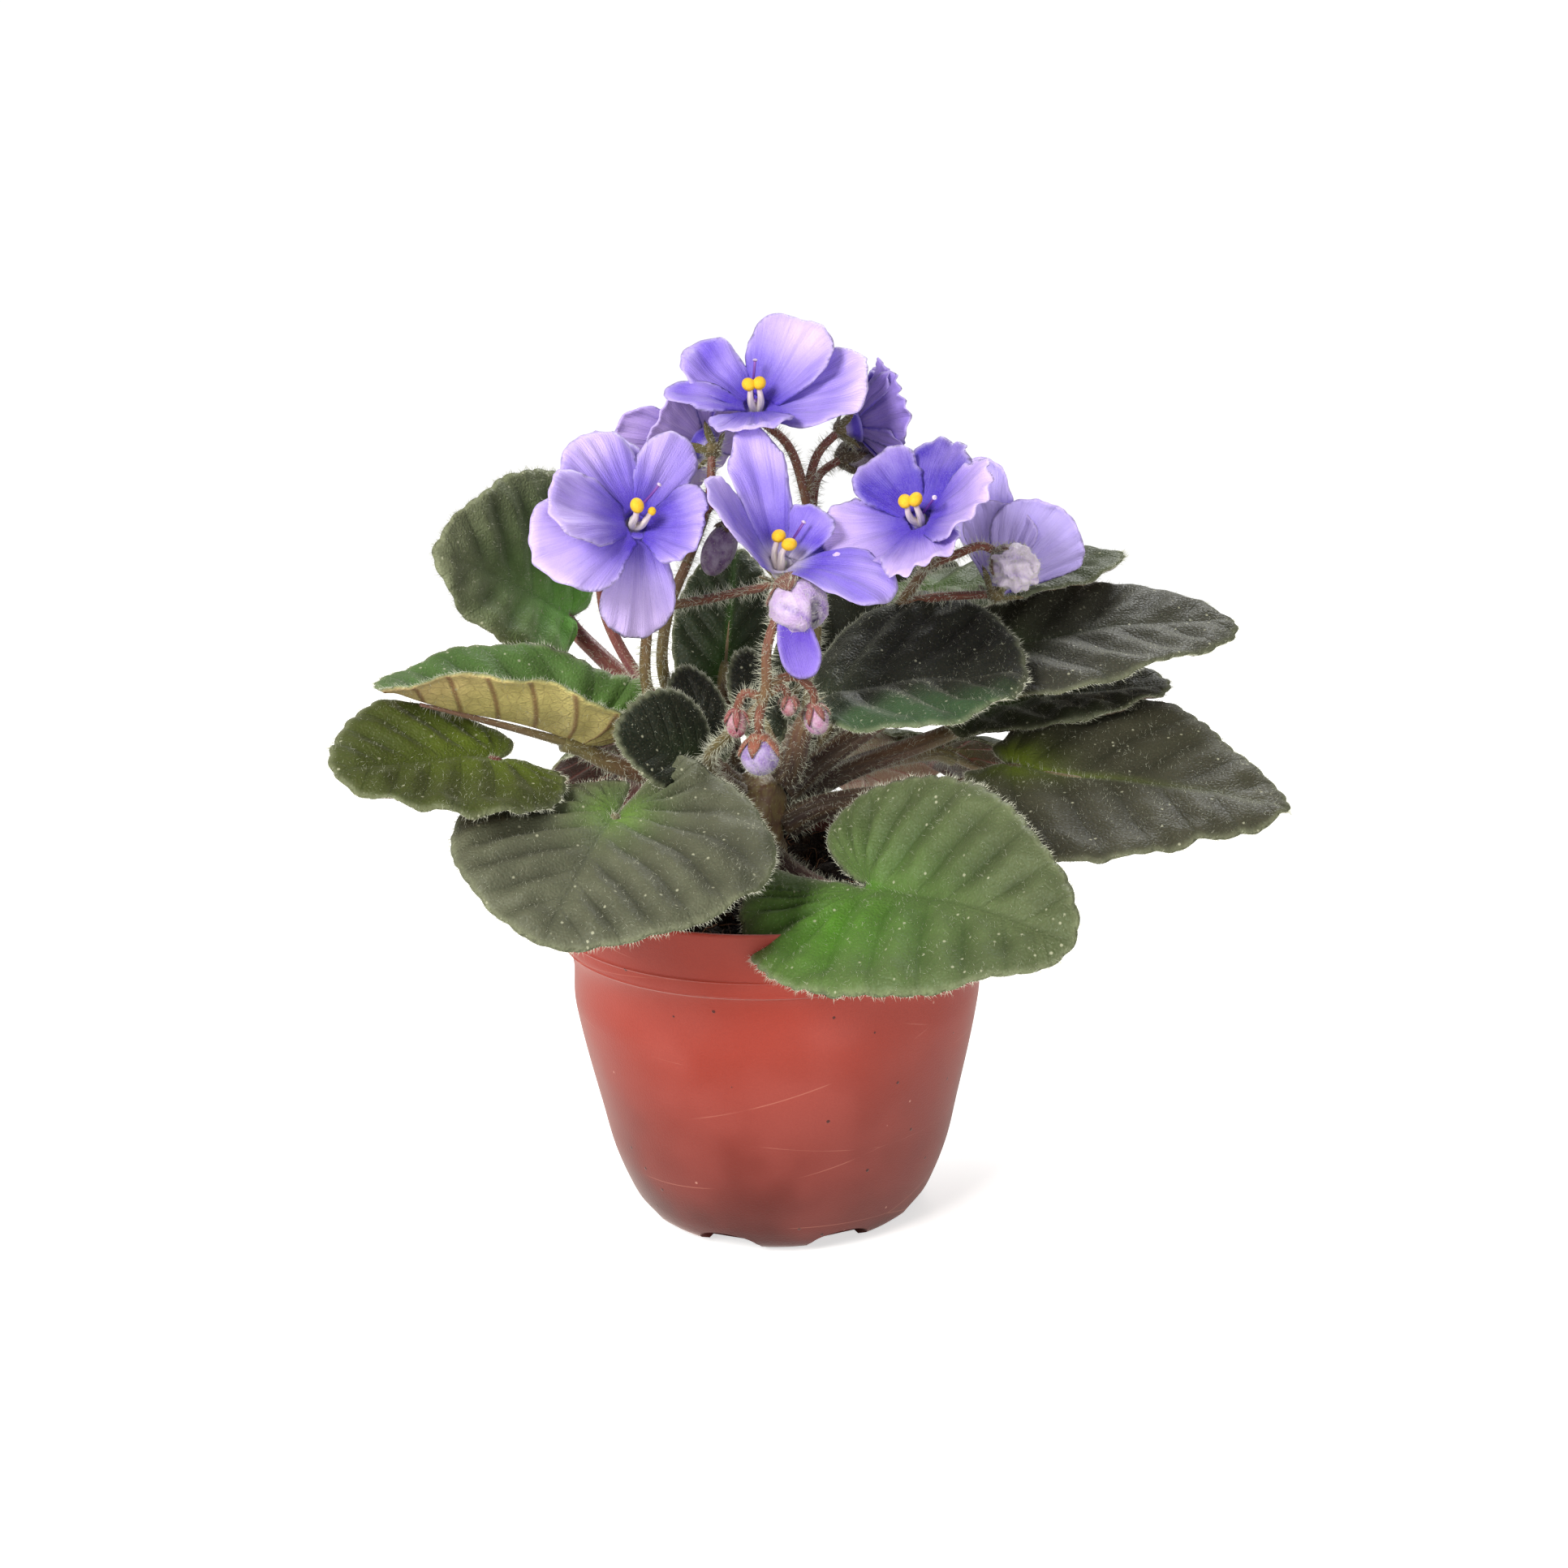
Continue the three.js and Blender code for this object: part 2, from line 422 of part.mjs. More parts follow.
function budSolid(bud, grow) {
  const to = V(bud.to).normalize();
  const body = ball(V(bud.at), bud.size.map((x) => x + grow), to, 8, 6);
  if (!bud.flap) return body;
  const [from, end, width] = bud.flap; // one petal has opened and hangs down
  const across = V(end).sub(V(from)).normalize();
  const mid = V(from).lerp(V(end), 0.5);
  const size = [width / 2 + grow, 0.6 + grow, V(from).distanceTo(V(end)) / 2 + 1 + grow];
  return body.add(ball(mid, size, across, 8, 4));
}

// ---------------------------------------------------------------- pot, compost and crown
function turned(points, segments) {
  const profile = points.map(([r, z]) => new THREE.Vector2(r, z));
  return solid(new THREE.LatheGeometry(profile, segments).rotateX(Math.PI / 2));
}

function pot() {
  const wall = turned([[0, 0], ...[...POT_PROFILE].reverse(), ...POT_INSIDE, [0, 2.2]], 32);
  const arches = Array.from({ length: POT_NOTCHES }, (_, i) => {
    const a = ((i + 0.5) * 2 * Math.PI) / POT_NOTCHES;
    const arch = new THREE.CylinderGeometry(NOTCH_WIDTH / 2, NOTCH_WIDTH / 2, 19, 8);
    arch.rotateZ(Math.PI / 2); // its axis along X
    arch.scale(1, 1, NOTCH_HEIGHT / (NOTCH_WIDTH / 2));
    arch.translate(32.5, 0, 1.4);
    arch.rotateZ(a);
    return solid(arch);
  });
  return arches.reduce((body, arch) => body.subtract(arch), wall);
}

function soil() {
  const side = POT_INSIDE.filter(([, z]) => z > 2.8 && z < SOIL_TOP).reverse().map(([r, z]) => [r - GAP, z]);
  const edge = POT_INSIDE[1][0] - GAP + 0.4;
  const bed = turned([[0, 9.4], ...side, [edge, SOIL_TOP - 1.6], [edge - 3, SOIL_TOP], [22, SOIL_TOP + 0.8],
    [0, SOIL_TOP + 1.6]], 24);
  return bed.subtract(crown(GAP));
}

function crown(grow) {
  const foot = CROWN_FOOT - grow;
  const top = CROWN_TOP + grow;
  const profile = [[0, foot], [3.4 + grow, foot], [5 + grow, SOIL_TOP - 4], [CROWN_R - 0.6 + grow, SOIL_TOP + 2],
    [CROWN_R + grow, top - 8], [CROWN_R - 1.5 + grow, top - 2], [2.5 + grow, top], [0, top]];
  return turned(profile, 16).translate([CROWN_X, CROWN_Y, 0]);
}

// ---------------------------------------------------------------- the plant, piece by piece
const COLOURS = {
  terracotta: 0xaf5044, compost: 0x241a12, crown: 0x6a5f35, leaf: 0x46523c, stalk: 0x8a5540,
  petal: 0xb29bf5, anther: 0xf8bb14, style: 0x7a3da0, bud: 0xa58bb8,
};
const paint = (name, roughness) => new THREE.MeshStandardMaterial({ color: COLOURS[name], roughness, metalness: 0 });

// [name, maker, material], the first ones keep their whole shape and the later ones make room for them
const PIECES = [
  ["pot", pot, paint("terracotta", 0.45)],
  ["soil", soil, paint("compost", 0.95)],
  ["crown", crown, paint("crown", 0.7)],
  ...Object.entries(STALKS).map(([name, spec]) => [name, (grow) => flowerStalk(spec, grow), paint("stalk", 0.7)]),
  ...Object.entries(BLOOMS).flatMap(([name, bloom]) => [
    [`stamens_${name}`, (grow) => stamens(bloom, grow), paint("anther", 0.6)],
    [`pistil_${name}`, (grow) => pistil(bloom, grow), paint("style", 0.5)],
    [`petals_${name}`, (grow) => corolla(bloom, grow), paint("petal", 0.6)],
  ]),
  ...Object.entries(BUDS).map(([name, bud]) => [name, (grow) => budSolid(bud, grow), paint("bud", 0.7)]),
  ...Object.entries(LEAVES).map(([name, leaf]) => [name, (grow) => leafSolid(leaf, grow), paint("leaf", 0.75)]),
];

// whether two boxes meet
const touching = (a, b) => [0, 1, 2].every((k) => a.min[k] <= b.max[k] && b.min[k] <= a.max[k]);

// each piece gives way to the grown shapes of the pieces before it, and keeps its largest body
const object = new THREE.Group();
const placed = [];
for (const [name, make, material] of PIECES) {
  let body = make(0);
  const grown = name === "pot" || name === "soil" ? body : make(GAP);
  for (const other of placed) {
    if (!touching(body.boundingBox(), other.grown.boundingBox())) continue;
    if (body.intersect(other.grown).volume() > 1e-6) body = body.subtract(other.grown);
  }
  body = body.simplify(DETAIL);
  const parts = body.decompose().sort((a, b) => b.volume() - a.volume());
  placed.push({ name, grown });
  const { vertProperties, triVerts } = parts[0].getMesh();
  const geometry = new THREE.BufferGeometry();
  geometry.setAttribute("position", new THREE.BufferAttribute(vertProperties, 3));
  geometry.setIndex(new THREE.BufferAttribute(triVerts, 1));
  geometry.computeVertexNormals();
  const mesh = new THREE.Mesh(geometry, material);
  mesh.name = name;
  object.add(mesh);
}

export default object;
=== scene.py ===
# %% [markdown]
# # A flowering African violet in its nursery pot
# The plant is a rosette: every leaf and every flower stalk grows out of one short crown that sits in the
# compost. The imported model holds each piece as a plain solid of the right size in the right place. Here
# each one is grown again with its real surface: quilted hairy leaves, ruffled petals, downy buds and a
# moulded plastic pot. All sizes below are in millimetres, and the last step of each piece turns them into
# Blender's metres.

# %% Load the frame
import math
import zlib

import bpy
import numpy as np
from mathutils import Matrix, Vector
from mathutils.geometry import delaunay_2d_cdt


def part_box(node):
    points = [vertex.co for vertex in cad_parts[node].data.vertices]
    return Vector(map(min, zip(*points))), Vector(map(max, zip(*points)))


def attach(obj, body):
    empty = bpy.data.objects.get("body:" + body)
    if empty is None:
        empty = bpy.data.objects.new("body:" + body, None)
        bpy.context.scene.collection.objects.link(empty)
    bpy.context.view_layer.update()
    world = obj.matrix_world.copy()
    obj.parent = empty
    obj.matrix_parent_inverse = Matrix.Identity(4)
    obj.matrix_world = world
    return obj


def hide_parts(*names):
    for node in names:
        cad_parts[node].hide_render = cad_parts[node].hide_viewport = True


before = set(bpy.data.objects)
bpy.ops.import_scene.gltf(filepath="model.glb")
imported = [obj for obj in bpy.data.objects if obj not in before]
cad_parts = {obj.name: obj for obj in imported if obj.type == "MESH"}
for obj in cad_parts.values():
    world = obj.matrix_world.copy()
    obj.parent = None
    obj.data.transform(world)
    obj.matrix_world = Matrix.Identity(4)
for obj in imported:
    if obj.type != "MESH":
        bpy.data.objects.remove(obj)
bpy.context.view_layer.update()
MM = 0.001

# %% [markdown]
# ## Camera
# The plant stands a little below eye level, as on a table, so the camera looks down at about fifteen
# degrees and sees the faces of the blooms and the tops of the leaves. A camera's own axes are the columns
# of its matrix: to its right, up, and backwards. Setting them directly also gives the slight lean that a
# hand-held camera has.

# %% Camera
LOOK_FROM = Vector((0.3, -418, 199)) * MM
LOOK_DOWN, PAN, LEAN = (math.radians(x) for x in (14.8, 0.3, -1.5))
level_run = math.cos(LOOK_DOWN)
ahead = Vector((math.sin(PAN) * level_run, math.cos(PAN) * level_run, -math.sin(LOOK_DOWN)))
level = Vector((math.cos(PAN), -math.sin(PAN), 0))
upright = level.cross(ahead)
to_right = level * math.cos(LEAN) + upright * math.sin(LEAN)
to_top = upright * math.cos(LEAN) - level * math.sin(LEAN)

camera = bpy.data.objects.new("camera", bpy.data.cameras.new("camera"))
camera.data.lens = 49.57
camera.data.sensor_width = 36
camera.data.clip_start = 0.01
camera.data.clip_end = 50
axes = Matrix((to_right, to_top, -ahead)).transposed().to_4x4()
camera.matrix_world = Matrix.Translation(LOOK_FROM) @ axes
bpy.context.scene.collection.objects.link(camera)
bpy.context.scene.camera = camera
print("camera:", round(LOOK_FROM.length, 3), "m from the pot's foot")

# %% [markdown]
# ## Mesh helpers
# Leaves, petals and sepals are all thin sheets, stalks and filaments are all tubes, and buds and anthers
# are all swollen balls. So three makers are enough. Each returns a part: its points, its triangles and
# named values at its points, such as a painted tint, that the materials read later. Numpy arrays keep this
# fast for whole meshes.

# %% Random numbers and waves that come out alike on every run
def seeded(name):
    """A random generator for one piece, so that adding a piece leaves the others as they were."""
    return np.random.default_rng(zlib.crc32(name.encode()))


def unit(v):
    return v / np.maximum(np.linalg.norm(v, axis=-1, keepdims=True), 1e-12)


def waves(points, length, rng, count=7):
    """Smooth random waves of about one wavelength, mostly between -1 and 1."""
    total = np.zeros(len(points))
    for _ in range(count):
        way = unit(rng.normal(size=points.shape[1]))
        pitch = 2 * np.pi / (length * rng.uniform(0.7, 1.5))
        total += np.sin(points @ way * pitch + rng.uniform(0, 2 * np.pi))
    return total / math.sqrt(count)


def smooth(x, low, high):
    t = np.clip((x - low) / (high - low), 0, 1)
    return t * t * (3 - 2 * t)


def bell(x, width):
    """1 at 0, falling off smoothly to both sides within about a width."""
    return np.exp(-((x / width) ** 2))


def mix(a, b, share):
    """Blends rows of a towards b by a share at each point."""
    share = np.asarray(share)[..., None]
    return np.asarray(a) * (1 - share) + np.asarray(b) * share


def shade(red, green, blue):
    """A colour given in everyday 0 to 255 steps, as Blender's linear light."""
    c = np.array([red, green, blue]) / 255
    return np.where(c <= 0.04045, c / 12.92, ((c + 0.055) / 1.055) ** 2.4)


print("waves of 5 mm:", waves(np.zeros((1, 2)), 5, seeded("test")).round(3))

# %% [markdown]
# ### Sheets
# A sheet starts flat, as an outline filled with evenly spaced points. Blender's own Delaunay routine joins
# them into triangles that follow every scallop of the margin. The flat sheet is then laid into space by a
# function, once for its upper face and once for its lower one, and the two share the margin, so the result
# is one closed skin.

# %% Sheet maker
def resample(line, pitch):
    """The same closed outline, with points one pitch apart."""
    closed = np.vstack([line, line[:1]])
    run = np.concatenate([[0], np.cumsum(np.linalg.norm(np.diff(closed, axis=0), axis=1))])
    at = np.linspace(0, run[-1], max(8, int(run[-1] / pitch)), endpoint=False)
    return np.stack([np.interp(at, run, closed[:, k]) for k in (0, 1)], 1)


def strap(run, half, last=-1):
    """The outline of a narrow sheet along x from its half widths. If last is None, its root is square."""
    return np.vstack([np.stack([run, -half], 1), np.stack([run, half], 1)[::-1][1:last]])


def within(points, line):
    """Whether each point is inside the outline: a ray from it then crosses the outline an odd number of
    times."""
    a, b = line, np.roll(line, -1, 0)
    x, y = points[:, :1], points[:, 1:]
    crosses = (a[:, 1] > y) != (b[:, 1] > y)
    slope = (b[:, 0] - a[:, 0]) / np.where(b[:, 1] == a[:, 1], 1e-9, b[:, 1] - a[:, 1])
    return (crosses & (x < a[:, 0] + (y - a[:, 1]) * slope)).sum(1) % 2 == 1


def fill(outline, pitch):
    """Points and triangles that fill a flat outline, and each point's distance to the margin."""
    low, high = outline.min(0), outline.max(0)
    rows = np.arange(low[1], high[1], pitch * math.sqrt(3) / 2)
    columns = np.arange(low[0], high[0], pitch)
    grid = np.array([[x + (j % 2) * pitch / 2, y] for j, y in enumerate(rows) for x in columns])
    rim = np.linalg.norm(grid[:, None] - outline[None], axis=2).min(1)
    keep = within(grid, outline) & (rim > 0.55 * pitch)
    points = np.vstack([outline, grid[keep]])
    rim = np.concatenate([np.zeros(len(outline)), rim[keep]])
    made = delaunay_2d_cdt([Vector(p) for p in points], [], [list(range(len(outline)))], 1, 1e-6)
    return points, np.array(made[2]), rim


def sheet(outline, pitch, lay, lift, thickness, values):
    """A closed thin skin. lay(x, y) puts flat points in space, lift(x, y, rim) raises both faces, and
    values(x, y, rim, side) gives the named values of the upper (side 1) and lower (side -1) face."""
    flat, triangles, rim = fill(outline, pitch)
    x, y = flat.T
    d = 0.05
    across = lay(x, y + d) - lay(x, y - d)
    along = lay(x + d, y) - lay(x - d, y)
    out = unit(np.cross(across, along))
    middle = lay(x, y) + out * lift(x, y, rim)[:, None]
    edge = np.clip(rim / (1.3 * thickness), 0, 1)
    half = (thickness / 2 * np.sqrt(1 - (1 - edge) ** 2))[:, None]
    inner = np.flatnonzero(rim > 0)
    lower = np.arange(len(flat))
    lower[inner] = len(flat) + np.arange(len(inner))
    points = np.vstack([middle + out * half, (middle - out * half)[inner]])
    faces = np.vstack([triangles[:, ::-1], lower[triangles]])
    top, under = values(x, y, rim, 1), values(x, y, rim, -1)
    named = {key: np.concatenate([top[key], under[key][inner]]) for key in top}
    return points, faces, named


disc = np.stack([np.cos(np.arange(60) / 60 * 2 * np.pi), np.sin(np.arange(60) / 60 * 2 * np.pi)], 1) * 10
print("a disc of 20 mm fills with", len(fill(resample(disc, 0.5), 1.0)[1]), "triangles")

# %% [markdown]
# ### Tubes and balls
# A stalk is a tube along a curve that runs smoothly through a few points. The ring of each cross-section is
# carried along without twisting. A ball is a lathe of rings, and a function may push its points in and out.

# %% Tube and ball makers
def curve_through(points, pitch):
    """Evenly spaced points on a smooth curve (a centripetal Catmull-Rom spline) through the given ones."""
    p = np.array(points, float)
    p = np.vstack([2 * p[0] - p[1], p, 2 * p[-1] - p[-2]])
    dense = []
    for p0, p1, p2, p3 in zip(p, p[1:], p[2:], p[3:]):
        steps = [np.sqrt(max(np.linalg.norm(b - a), 1e-6)) for a, b in ((p0, p1), (p1, p2), (p2, p3))]
        t0, t1, t2, t3 = 0, steps[0], steps[0] + steps[1], sum(steps)
        t = np.linspace(t1, t2, 24, endpoint=False)[:, None]

        def between(a, b, ta, tb, t=t):
            return (tb - t) / (tb - ta) * a + (t - ta) / (tb - ta) * b

        first, middle, last = between(p0, p1, t0, t1), between(p1, p2, t1, t2), between(p2, p3, t2, t3)
        dense.append(between(between(first, middle, t0, t2), between(middle, last, t1, t3), t1, t2))
    dense = np.vstack([*dense, p[-2:-1]])
    run = np.concatenate([[0], np.cumsum(np.linalg.norm(np.diff(dense, axis=0), axis=1))])
    at = np.linspace(0, run[-1], max(3, int(run[-1] / pitch) + 1))
    return np.stack([np.interp(at, run, dense[:, k]) for k in range(3)], 1)


def ring_faces(rings, count, foot, tip):
    """Triangles between rings of count points each, closed by a fan to point foot and one to point tip."""
    k = np.arange(count)
    after = (k + 1) % count
    faces = []
    for i in range(rings - 1):
        a, b = i * count, (i + 1) * count
        faces += [np.stack([a + k, a + after, b + after], 1), np.stack([a + k, b + after, b + k], 1)]
    last = (rings - 1) * count
    faces.append(np.stack([after, k, np.full(count, foot)], 1))
    faces.append(np.stack([last + k, last + after, np.full(count, tip)], 1))
    return np.vstack(faces)


def marks_of(share, turn, paint):
    """The named values of a tube or ball."""
    values = {"share": share, "turn": turn}
    if paint is not None:
        values["tint"] = paint(share, turn)
    return values


def tube(path, radii, sides=12, paint=None):
    """A closed round tube. paint(share along, angle) gives the tint of its points."""
    n = len(path)
    radii = np.broadcast_to(radii, (n,))
    ahead_of = unit(np.gradient(path, axis=0))
    side = unit(np.cross(ahead_of[0], [0.31, 0.17, 0.93]))
    rings = []
    angles = np.arange(sides) / sides * 2 * np.pi
    for centre, way, radius in zip(path, ahead_of, radii):
        side = unit(side - way * (side @ way))
        other = np.cross(way, side)
        rings.append(centre + radius * (np.cos(angles)[:, None] * side + np.sin(angles)[:, None] * other))
    points = np.vstack([*rings, path[:1], path[-1:]])
    share = np.concatenate([np.repeat(np.linspace(0, 1, n), sides), [0, 1]])
    turn = np.concatenate([np.tile(angles, n), [0, 0]])
    return points, ring_faces(n, sides, n * sides, n * sides + 1), marks_of(share, turn, paint)


def turned_to(way):
    """Three axes as rows, the last one along way."""
    w = unit(np.array(way, float))
    u = unit(np.cross([0.0, 0.0, 1.0] if abs(w[2]) < 0.95 else [1.0, 0.0, 0.0], w))
    return np.array([u, np.cross(w, u), w])


def ball(centre, size, axes, rings=18, segments=28, push=None, paint=None):
    """A closed ball with half lengths size along three axes. push(share from foot to tip, turn) scales its
    radius."""
    rise = np.linspace(-np.pi / 2, np.pi / 2, rings + 1)[1:-1]
    turn = np.arange(segments) / segments * 2 * np.pi
    rr, tt = np.repeat(rise, segments), np.tile(turn, len(rise))
    rr, tt = np.concatenate([rr, [-np.pi / 2, np.pi / 2]]), np.concatenate([tt, [0, 0]])
    share = (np.sin(rr) + 1) / 2
    swell = np.ones(len(rr)) if push is None else push(share, tt)
    local = np.stack([np.cos(rr) * np.cos(tt), np.cos(rr) * np.sin(tt), np.sin(rr)], 1)
    local = local * np.array(size) * np.stack([swell, swell, np.ones(len(rr))], 1)
    faces = ring_faces(len(rise), segments, len(rr) - 2, len(rr) - 1)
    return np.array(centre) + local @ np.array(axes), faces, marks_of(share, tt, paint)


print("a stalk of 60 mm has", len(curve_through([[0, 0, 0], [20, 0, 30], [20, 0, 60]], 1.5)), "rings")

# %% [markdown]
# ### From parts to a piece
# Parts that grew together become one Blender object. Each piece rides on the plant's one body and stands for
# its solid in the frame. The named values go along as mesh attributes.

# %% Piece maker
added = {}


def gather(parts):
    """Joins parts into one. A value that a part lacks is 0 at its points."""
    points, faces, values, count = [], [], {}, 0
    total = sum(len(p) for p, _, _ in parts)
    for p, f, named in parts:
        points.append(p)
        faces.append(f + count)
        for key, value in named.items():
            if key not in values:
                values[key] = np.zeros((total, *value.shape[1:]))
            values[key][count:count + len(p)] = value
        count += len(p)
    return np.vstack(points), np.vstack(faces), values


def piece(name, layers, node=None, is_smooth=True):
    """Makes one Blender object of layers, each a part in millimetres and its material, and ties it to the
    frame."""
    points, faces, values = gather([part for part, _ in layers])
    mesh = bpy.data.meshes.new(name)
    mesh.from_pydata((points * MM).tolist(), [], faces.tolist())
    mesh.polygons.foreach_set("use_smooth", np.full(len(faces), is_smooth))
    layer_of = np.concatenate([np.full(len(part[1]), k) for k, (part, _) in enumerate(layers)])
    mesh.polygons.foreach_set("material_index", layer_of.astype(np.int32))
    for key, value in values.items():
        if value.ndim == 2:
            layer = mesh.attributes.new(key, "FLOAT_COLOR", "POINT")
            colour = np.hstack([value, np.ones((len(value), 1))])
            layer.data.foreach_set("color", colour.astype(np.float32).ravel())
        else:
            mesh.attributes.new(key, "FLOAT", "POINT").data.foreach_set("value", value.astype(np.float32))
    for _, material in layers:
        mesh.materials.append(material)
    made = bpy.data.objects.new(name, mesh)
    bpy.context.scene.collection.objects.link(made)
    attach(made, "root")
    if node:
        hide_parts(node)
    added[name] = len(faces)
    return made


# %% [markdown]
# ## Material helpers
# Materials are node trees. These helpers add one node each, with its sockets given as values or as other
# nodes' outputs, so that a material below reads as a short recipe.

# %% Node helpers
def add(tree, kind, sockets=None, **settings):
    """Adds a node: settings are its own options, sockets its inputs by name or number."""
    node = tree.nodes.new(kind)
    for key, value in settings.items():
        setattr(node, key, value)
    for key, value in (sockets or {}).items():
        if isinstance(value, bpy.types.NodeSocket):
            tree.links.new(value, node.inputs[key])
        else:
            node.inputs[key].default_value = value
    return node


def sum_of(tree, operation, a, b=0.5, c=0.5):
    """One sum on numbers."""
    return add(tree, "ShaderNodeMath", {0: a, 1: b, 2: c}, operation=operation).outputs[0]


def times(tree, a, b):
    return sum_of(tree, "MULTIPLY", a, b)


def scaled(tree, vector, by):
    """A vector whose three parts are each multiplied."""
    return add(tree, "ShaderNodeVectorMath", {0: vector, 1: by}, operation="MULTIPLY").outputs[0]


def ramp(tree, value, low, high, to_low=0.0, to_high=1.0):
    """Runs smoothly from to_low to to_high while value runs from low to high."""
    sockets = {"Value": value, "From Min": low, "From Max": high, "To Min": to_low, "To Max": to_high}
    return add(tree, "ShaderNodeMapRange", sockets, interpolation_type="SMOOTHSTEP").outputs[0]


def tinted(tree, share, first, second, way="MIX"):
    """Blends two colours, which are values or other nodes' outputs."""
    node = add(tree, "ShaderNodeMix", {0: share}, data_type="RGBA", blend_type=way)
    for k, colour in ((6, first), (7, second)):
        if isinstance(colour, bpy.types.NodeSocket):
            tree.links.new(colour, node.inputs[k])
        else:
            node.inputs[k].default_value = (*colour, 1)
    return node.outputs[2]


def washed(tree, mask, strength, under, over):
    """Lays a colour over another where a mask is 1, at a strength up to 1."""
    return tinted(tree, times(tree, mask, strength), under, over)


def read(tree, name, what="Fac"):
    """A named value that was stored at the mesh's points."""
    return add(tree, "ShaderNodeAttribute", attribute_name=name).outputs[what]


def place_in_mm(tree):
    """The place on the object in millimetres, for patterns that run through its whole body."""
    where = add(tree, "ShaderNodeTexCoord").outputs["Object"]
    return add(tree, "ShaderNodeVectorMath", {0: where, "Scale": 1 / MM}, operation="SCALE").outputs[0]


def new_group(name, inputs, outputs):
    """An empty shader node group. inputs maps names to kinds and default values, outputs names to kinds."""
    tree = bpy.data.node_groups.new(name, "ShaderNodeTree")
    for key, (kind, value) in inputs.items():
        socket = tree.interface.new_socket(name=key, in_out="INPUT", socket_type="NodeSocket" + kind)
        if value is not None:
            socket.default_value = value
    for key, kind in outputs.items():
        tree.interface.new_socket(name=key, in_out="OUTPUT", socket_type="NodeSocket" + kind)
    return tree, tree.nodes.new("NodeGroupInput").outputs, tree.nodes.new("NodeGroupOutput").inputs


def use(tree, group, **sockets):
    """Places a group in a material; an underscore in a socket's name stands for a space."""
    node = tree.nodes.new("ShaderNodeGroup")
    node.node_tree = group
    for key, value in sockets.items():
        socket = node.inputs[key.replace("_", " ")]
        if isinstance(value, bpy.types.NodeSocket):
            tree.links.new(value, socket)
        else:
            socket.default_value = value
    return node.outputs


def new_material(name):
    """A material with only its output node, and its tree."""
    material = bpy.data.materials.new(name)
    material.use_nodes = True
    material.node_tree.nodes.clear()
    return material, material.node_tree


def surface(tree, colour, roughness, height=None, depth=0.2, **constants):
    """Ends a material in a Principled shader. height is bump relief, and 1 stands for depth millimetres."""
    shader = add(tree, "ShaderNodeBsdfPrincipled", {"Base Color": colour, "Roughness": roughness})
    if height is not None:
        bump = add(tree, "ShaderNodeBump", {"Height": height, "Distance": depth * MM, "Strength": 1.0})
        tree.links.new(bump.outputs[0], shader.inputs["Normal"])
    for key, value in constants.items():
        shader.inputs[key.replace("_", " ")].default_value = value
    end = tree.nodes.new("ShaderNodeOutputMaterial")
    tree.links.new(shader.outputs[0], end.inputs["Surface"])


print("node helpers ready")

# %% [markdown]
# ## Effects that several materials share
# Three effects come back on most of this plant. Mottle is the uneven colour of anything that grows or has
# been handled. Down is the coat of short hairs, too fine to model one by one, that shows as pale flecks and
# tiny dimples. Streaks are the fine lines that run along petals, filaments and stalks. Each is one node
# group.

# %% Mottle group
mottle, given, result = new_group(
    "mottle",
    {"Place": ("Vector", None), "Patch size": ("Float", 6.0), "Grain size": ("Float", 0.8)},
    {"Patches": "Float", "Grain": "Float"},
)
for key, size, detail in (("Patches", "Patch size", 2.0), ("Grain", "Grain size", 1.0)):
    per_mm = sum_of(mottle, "DIVIDE", 1.0, given[size])
    noise = add(mottle, "ShaderNodeTexNoise", {"Vector": given["Place"], "Scale": per_mm, "Detail": detail})
    mottle.links.new(ramp(mottle, noise.outputs["Fac"], 0.32, 0.68), result[key])
print("mottle:", [s.name for s in mottle.interface.items_tree])

# %% Down group
down, given, result = new_group(
    "down",
    {"Place": ("Vector", None), "Spacing": ("Float", 0.5), "Share": ("Float", 0.5)},
    {"Flecks": "Float", "Nap": "Float"},
)
per_mm = sum_of(down, "DIVIDE", 1.0, given["Spacing"])
cells = add(down, "ShaderNodeTexVoronoi", {"Vector": given["Place"], "Scale": per_mm, "Randomness": 1.0})
chosen = add(down, "ShaderNodeSeparateColor", {0: cells.outputs["Color"]}).outputs[0]
dots = ramp(down, cells.outputs["Distance"], 0.18, 0.42, 1.0, 0.0)
kept = sum_of(down, "LESS_THAN", chosen, given["Share"])
down.links.new(sum_of(down, "MULTIPLY", dots, kept), result["Flecks"])
nap = add(down, "ShaderNodeTexNoise", {"Vector": given["Place"], "Scale": per_mm, "Detail": 0.0})
down.links.new(nap.outputs["Fac"], result["Nap"])
print("down:", [s.name for s in down.interface.items_tree])

# %% Streaks group
streaks, given, result = new_group(
    "streaks",
    {"Across": ("Float", 0.0), "Along": ("Float", 0.0), "Fineness": ("Float", 8.0), "Run": ("Float", 0.12)},
    {"Lines": "Float"},
)
x = sum_of(streaks, "MULTIPLY", given["Across"], given["Fineness"])
y = sum_of(streaks, "MULTIPLY", given["Along"], given["Run"])
lane = add(streaks, "ShaderNodeCombineXYZ", {"X": x, "Y": y}).outputs[0]
noise = add(streaks, "ShaderNodeTexNoise", {"Vector": lane, "Scale": 1.0, "Detail": 2.0})
streaks.links.new(ramp(streaks, noise.outputs["Fac"], 0.35, 0.65), result["Lines"])
print("streaks:", [s.name for s in streaks.interface.items_tree])

# %% [markdown]
# ## The pot
# The real pot is thin moulded polypropylene in a terracotta colour: a tapered wall with two fine ridges
# below the rim, a rounded foot and eight drain arches cut through its bottom corner. A lathe gives the
# wall. The arches are cut with a boolean, because they pierce both the wall and the floor of the pot.

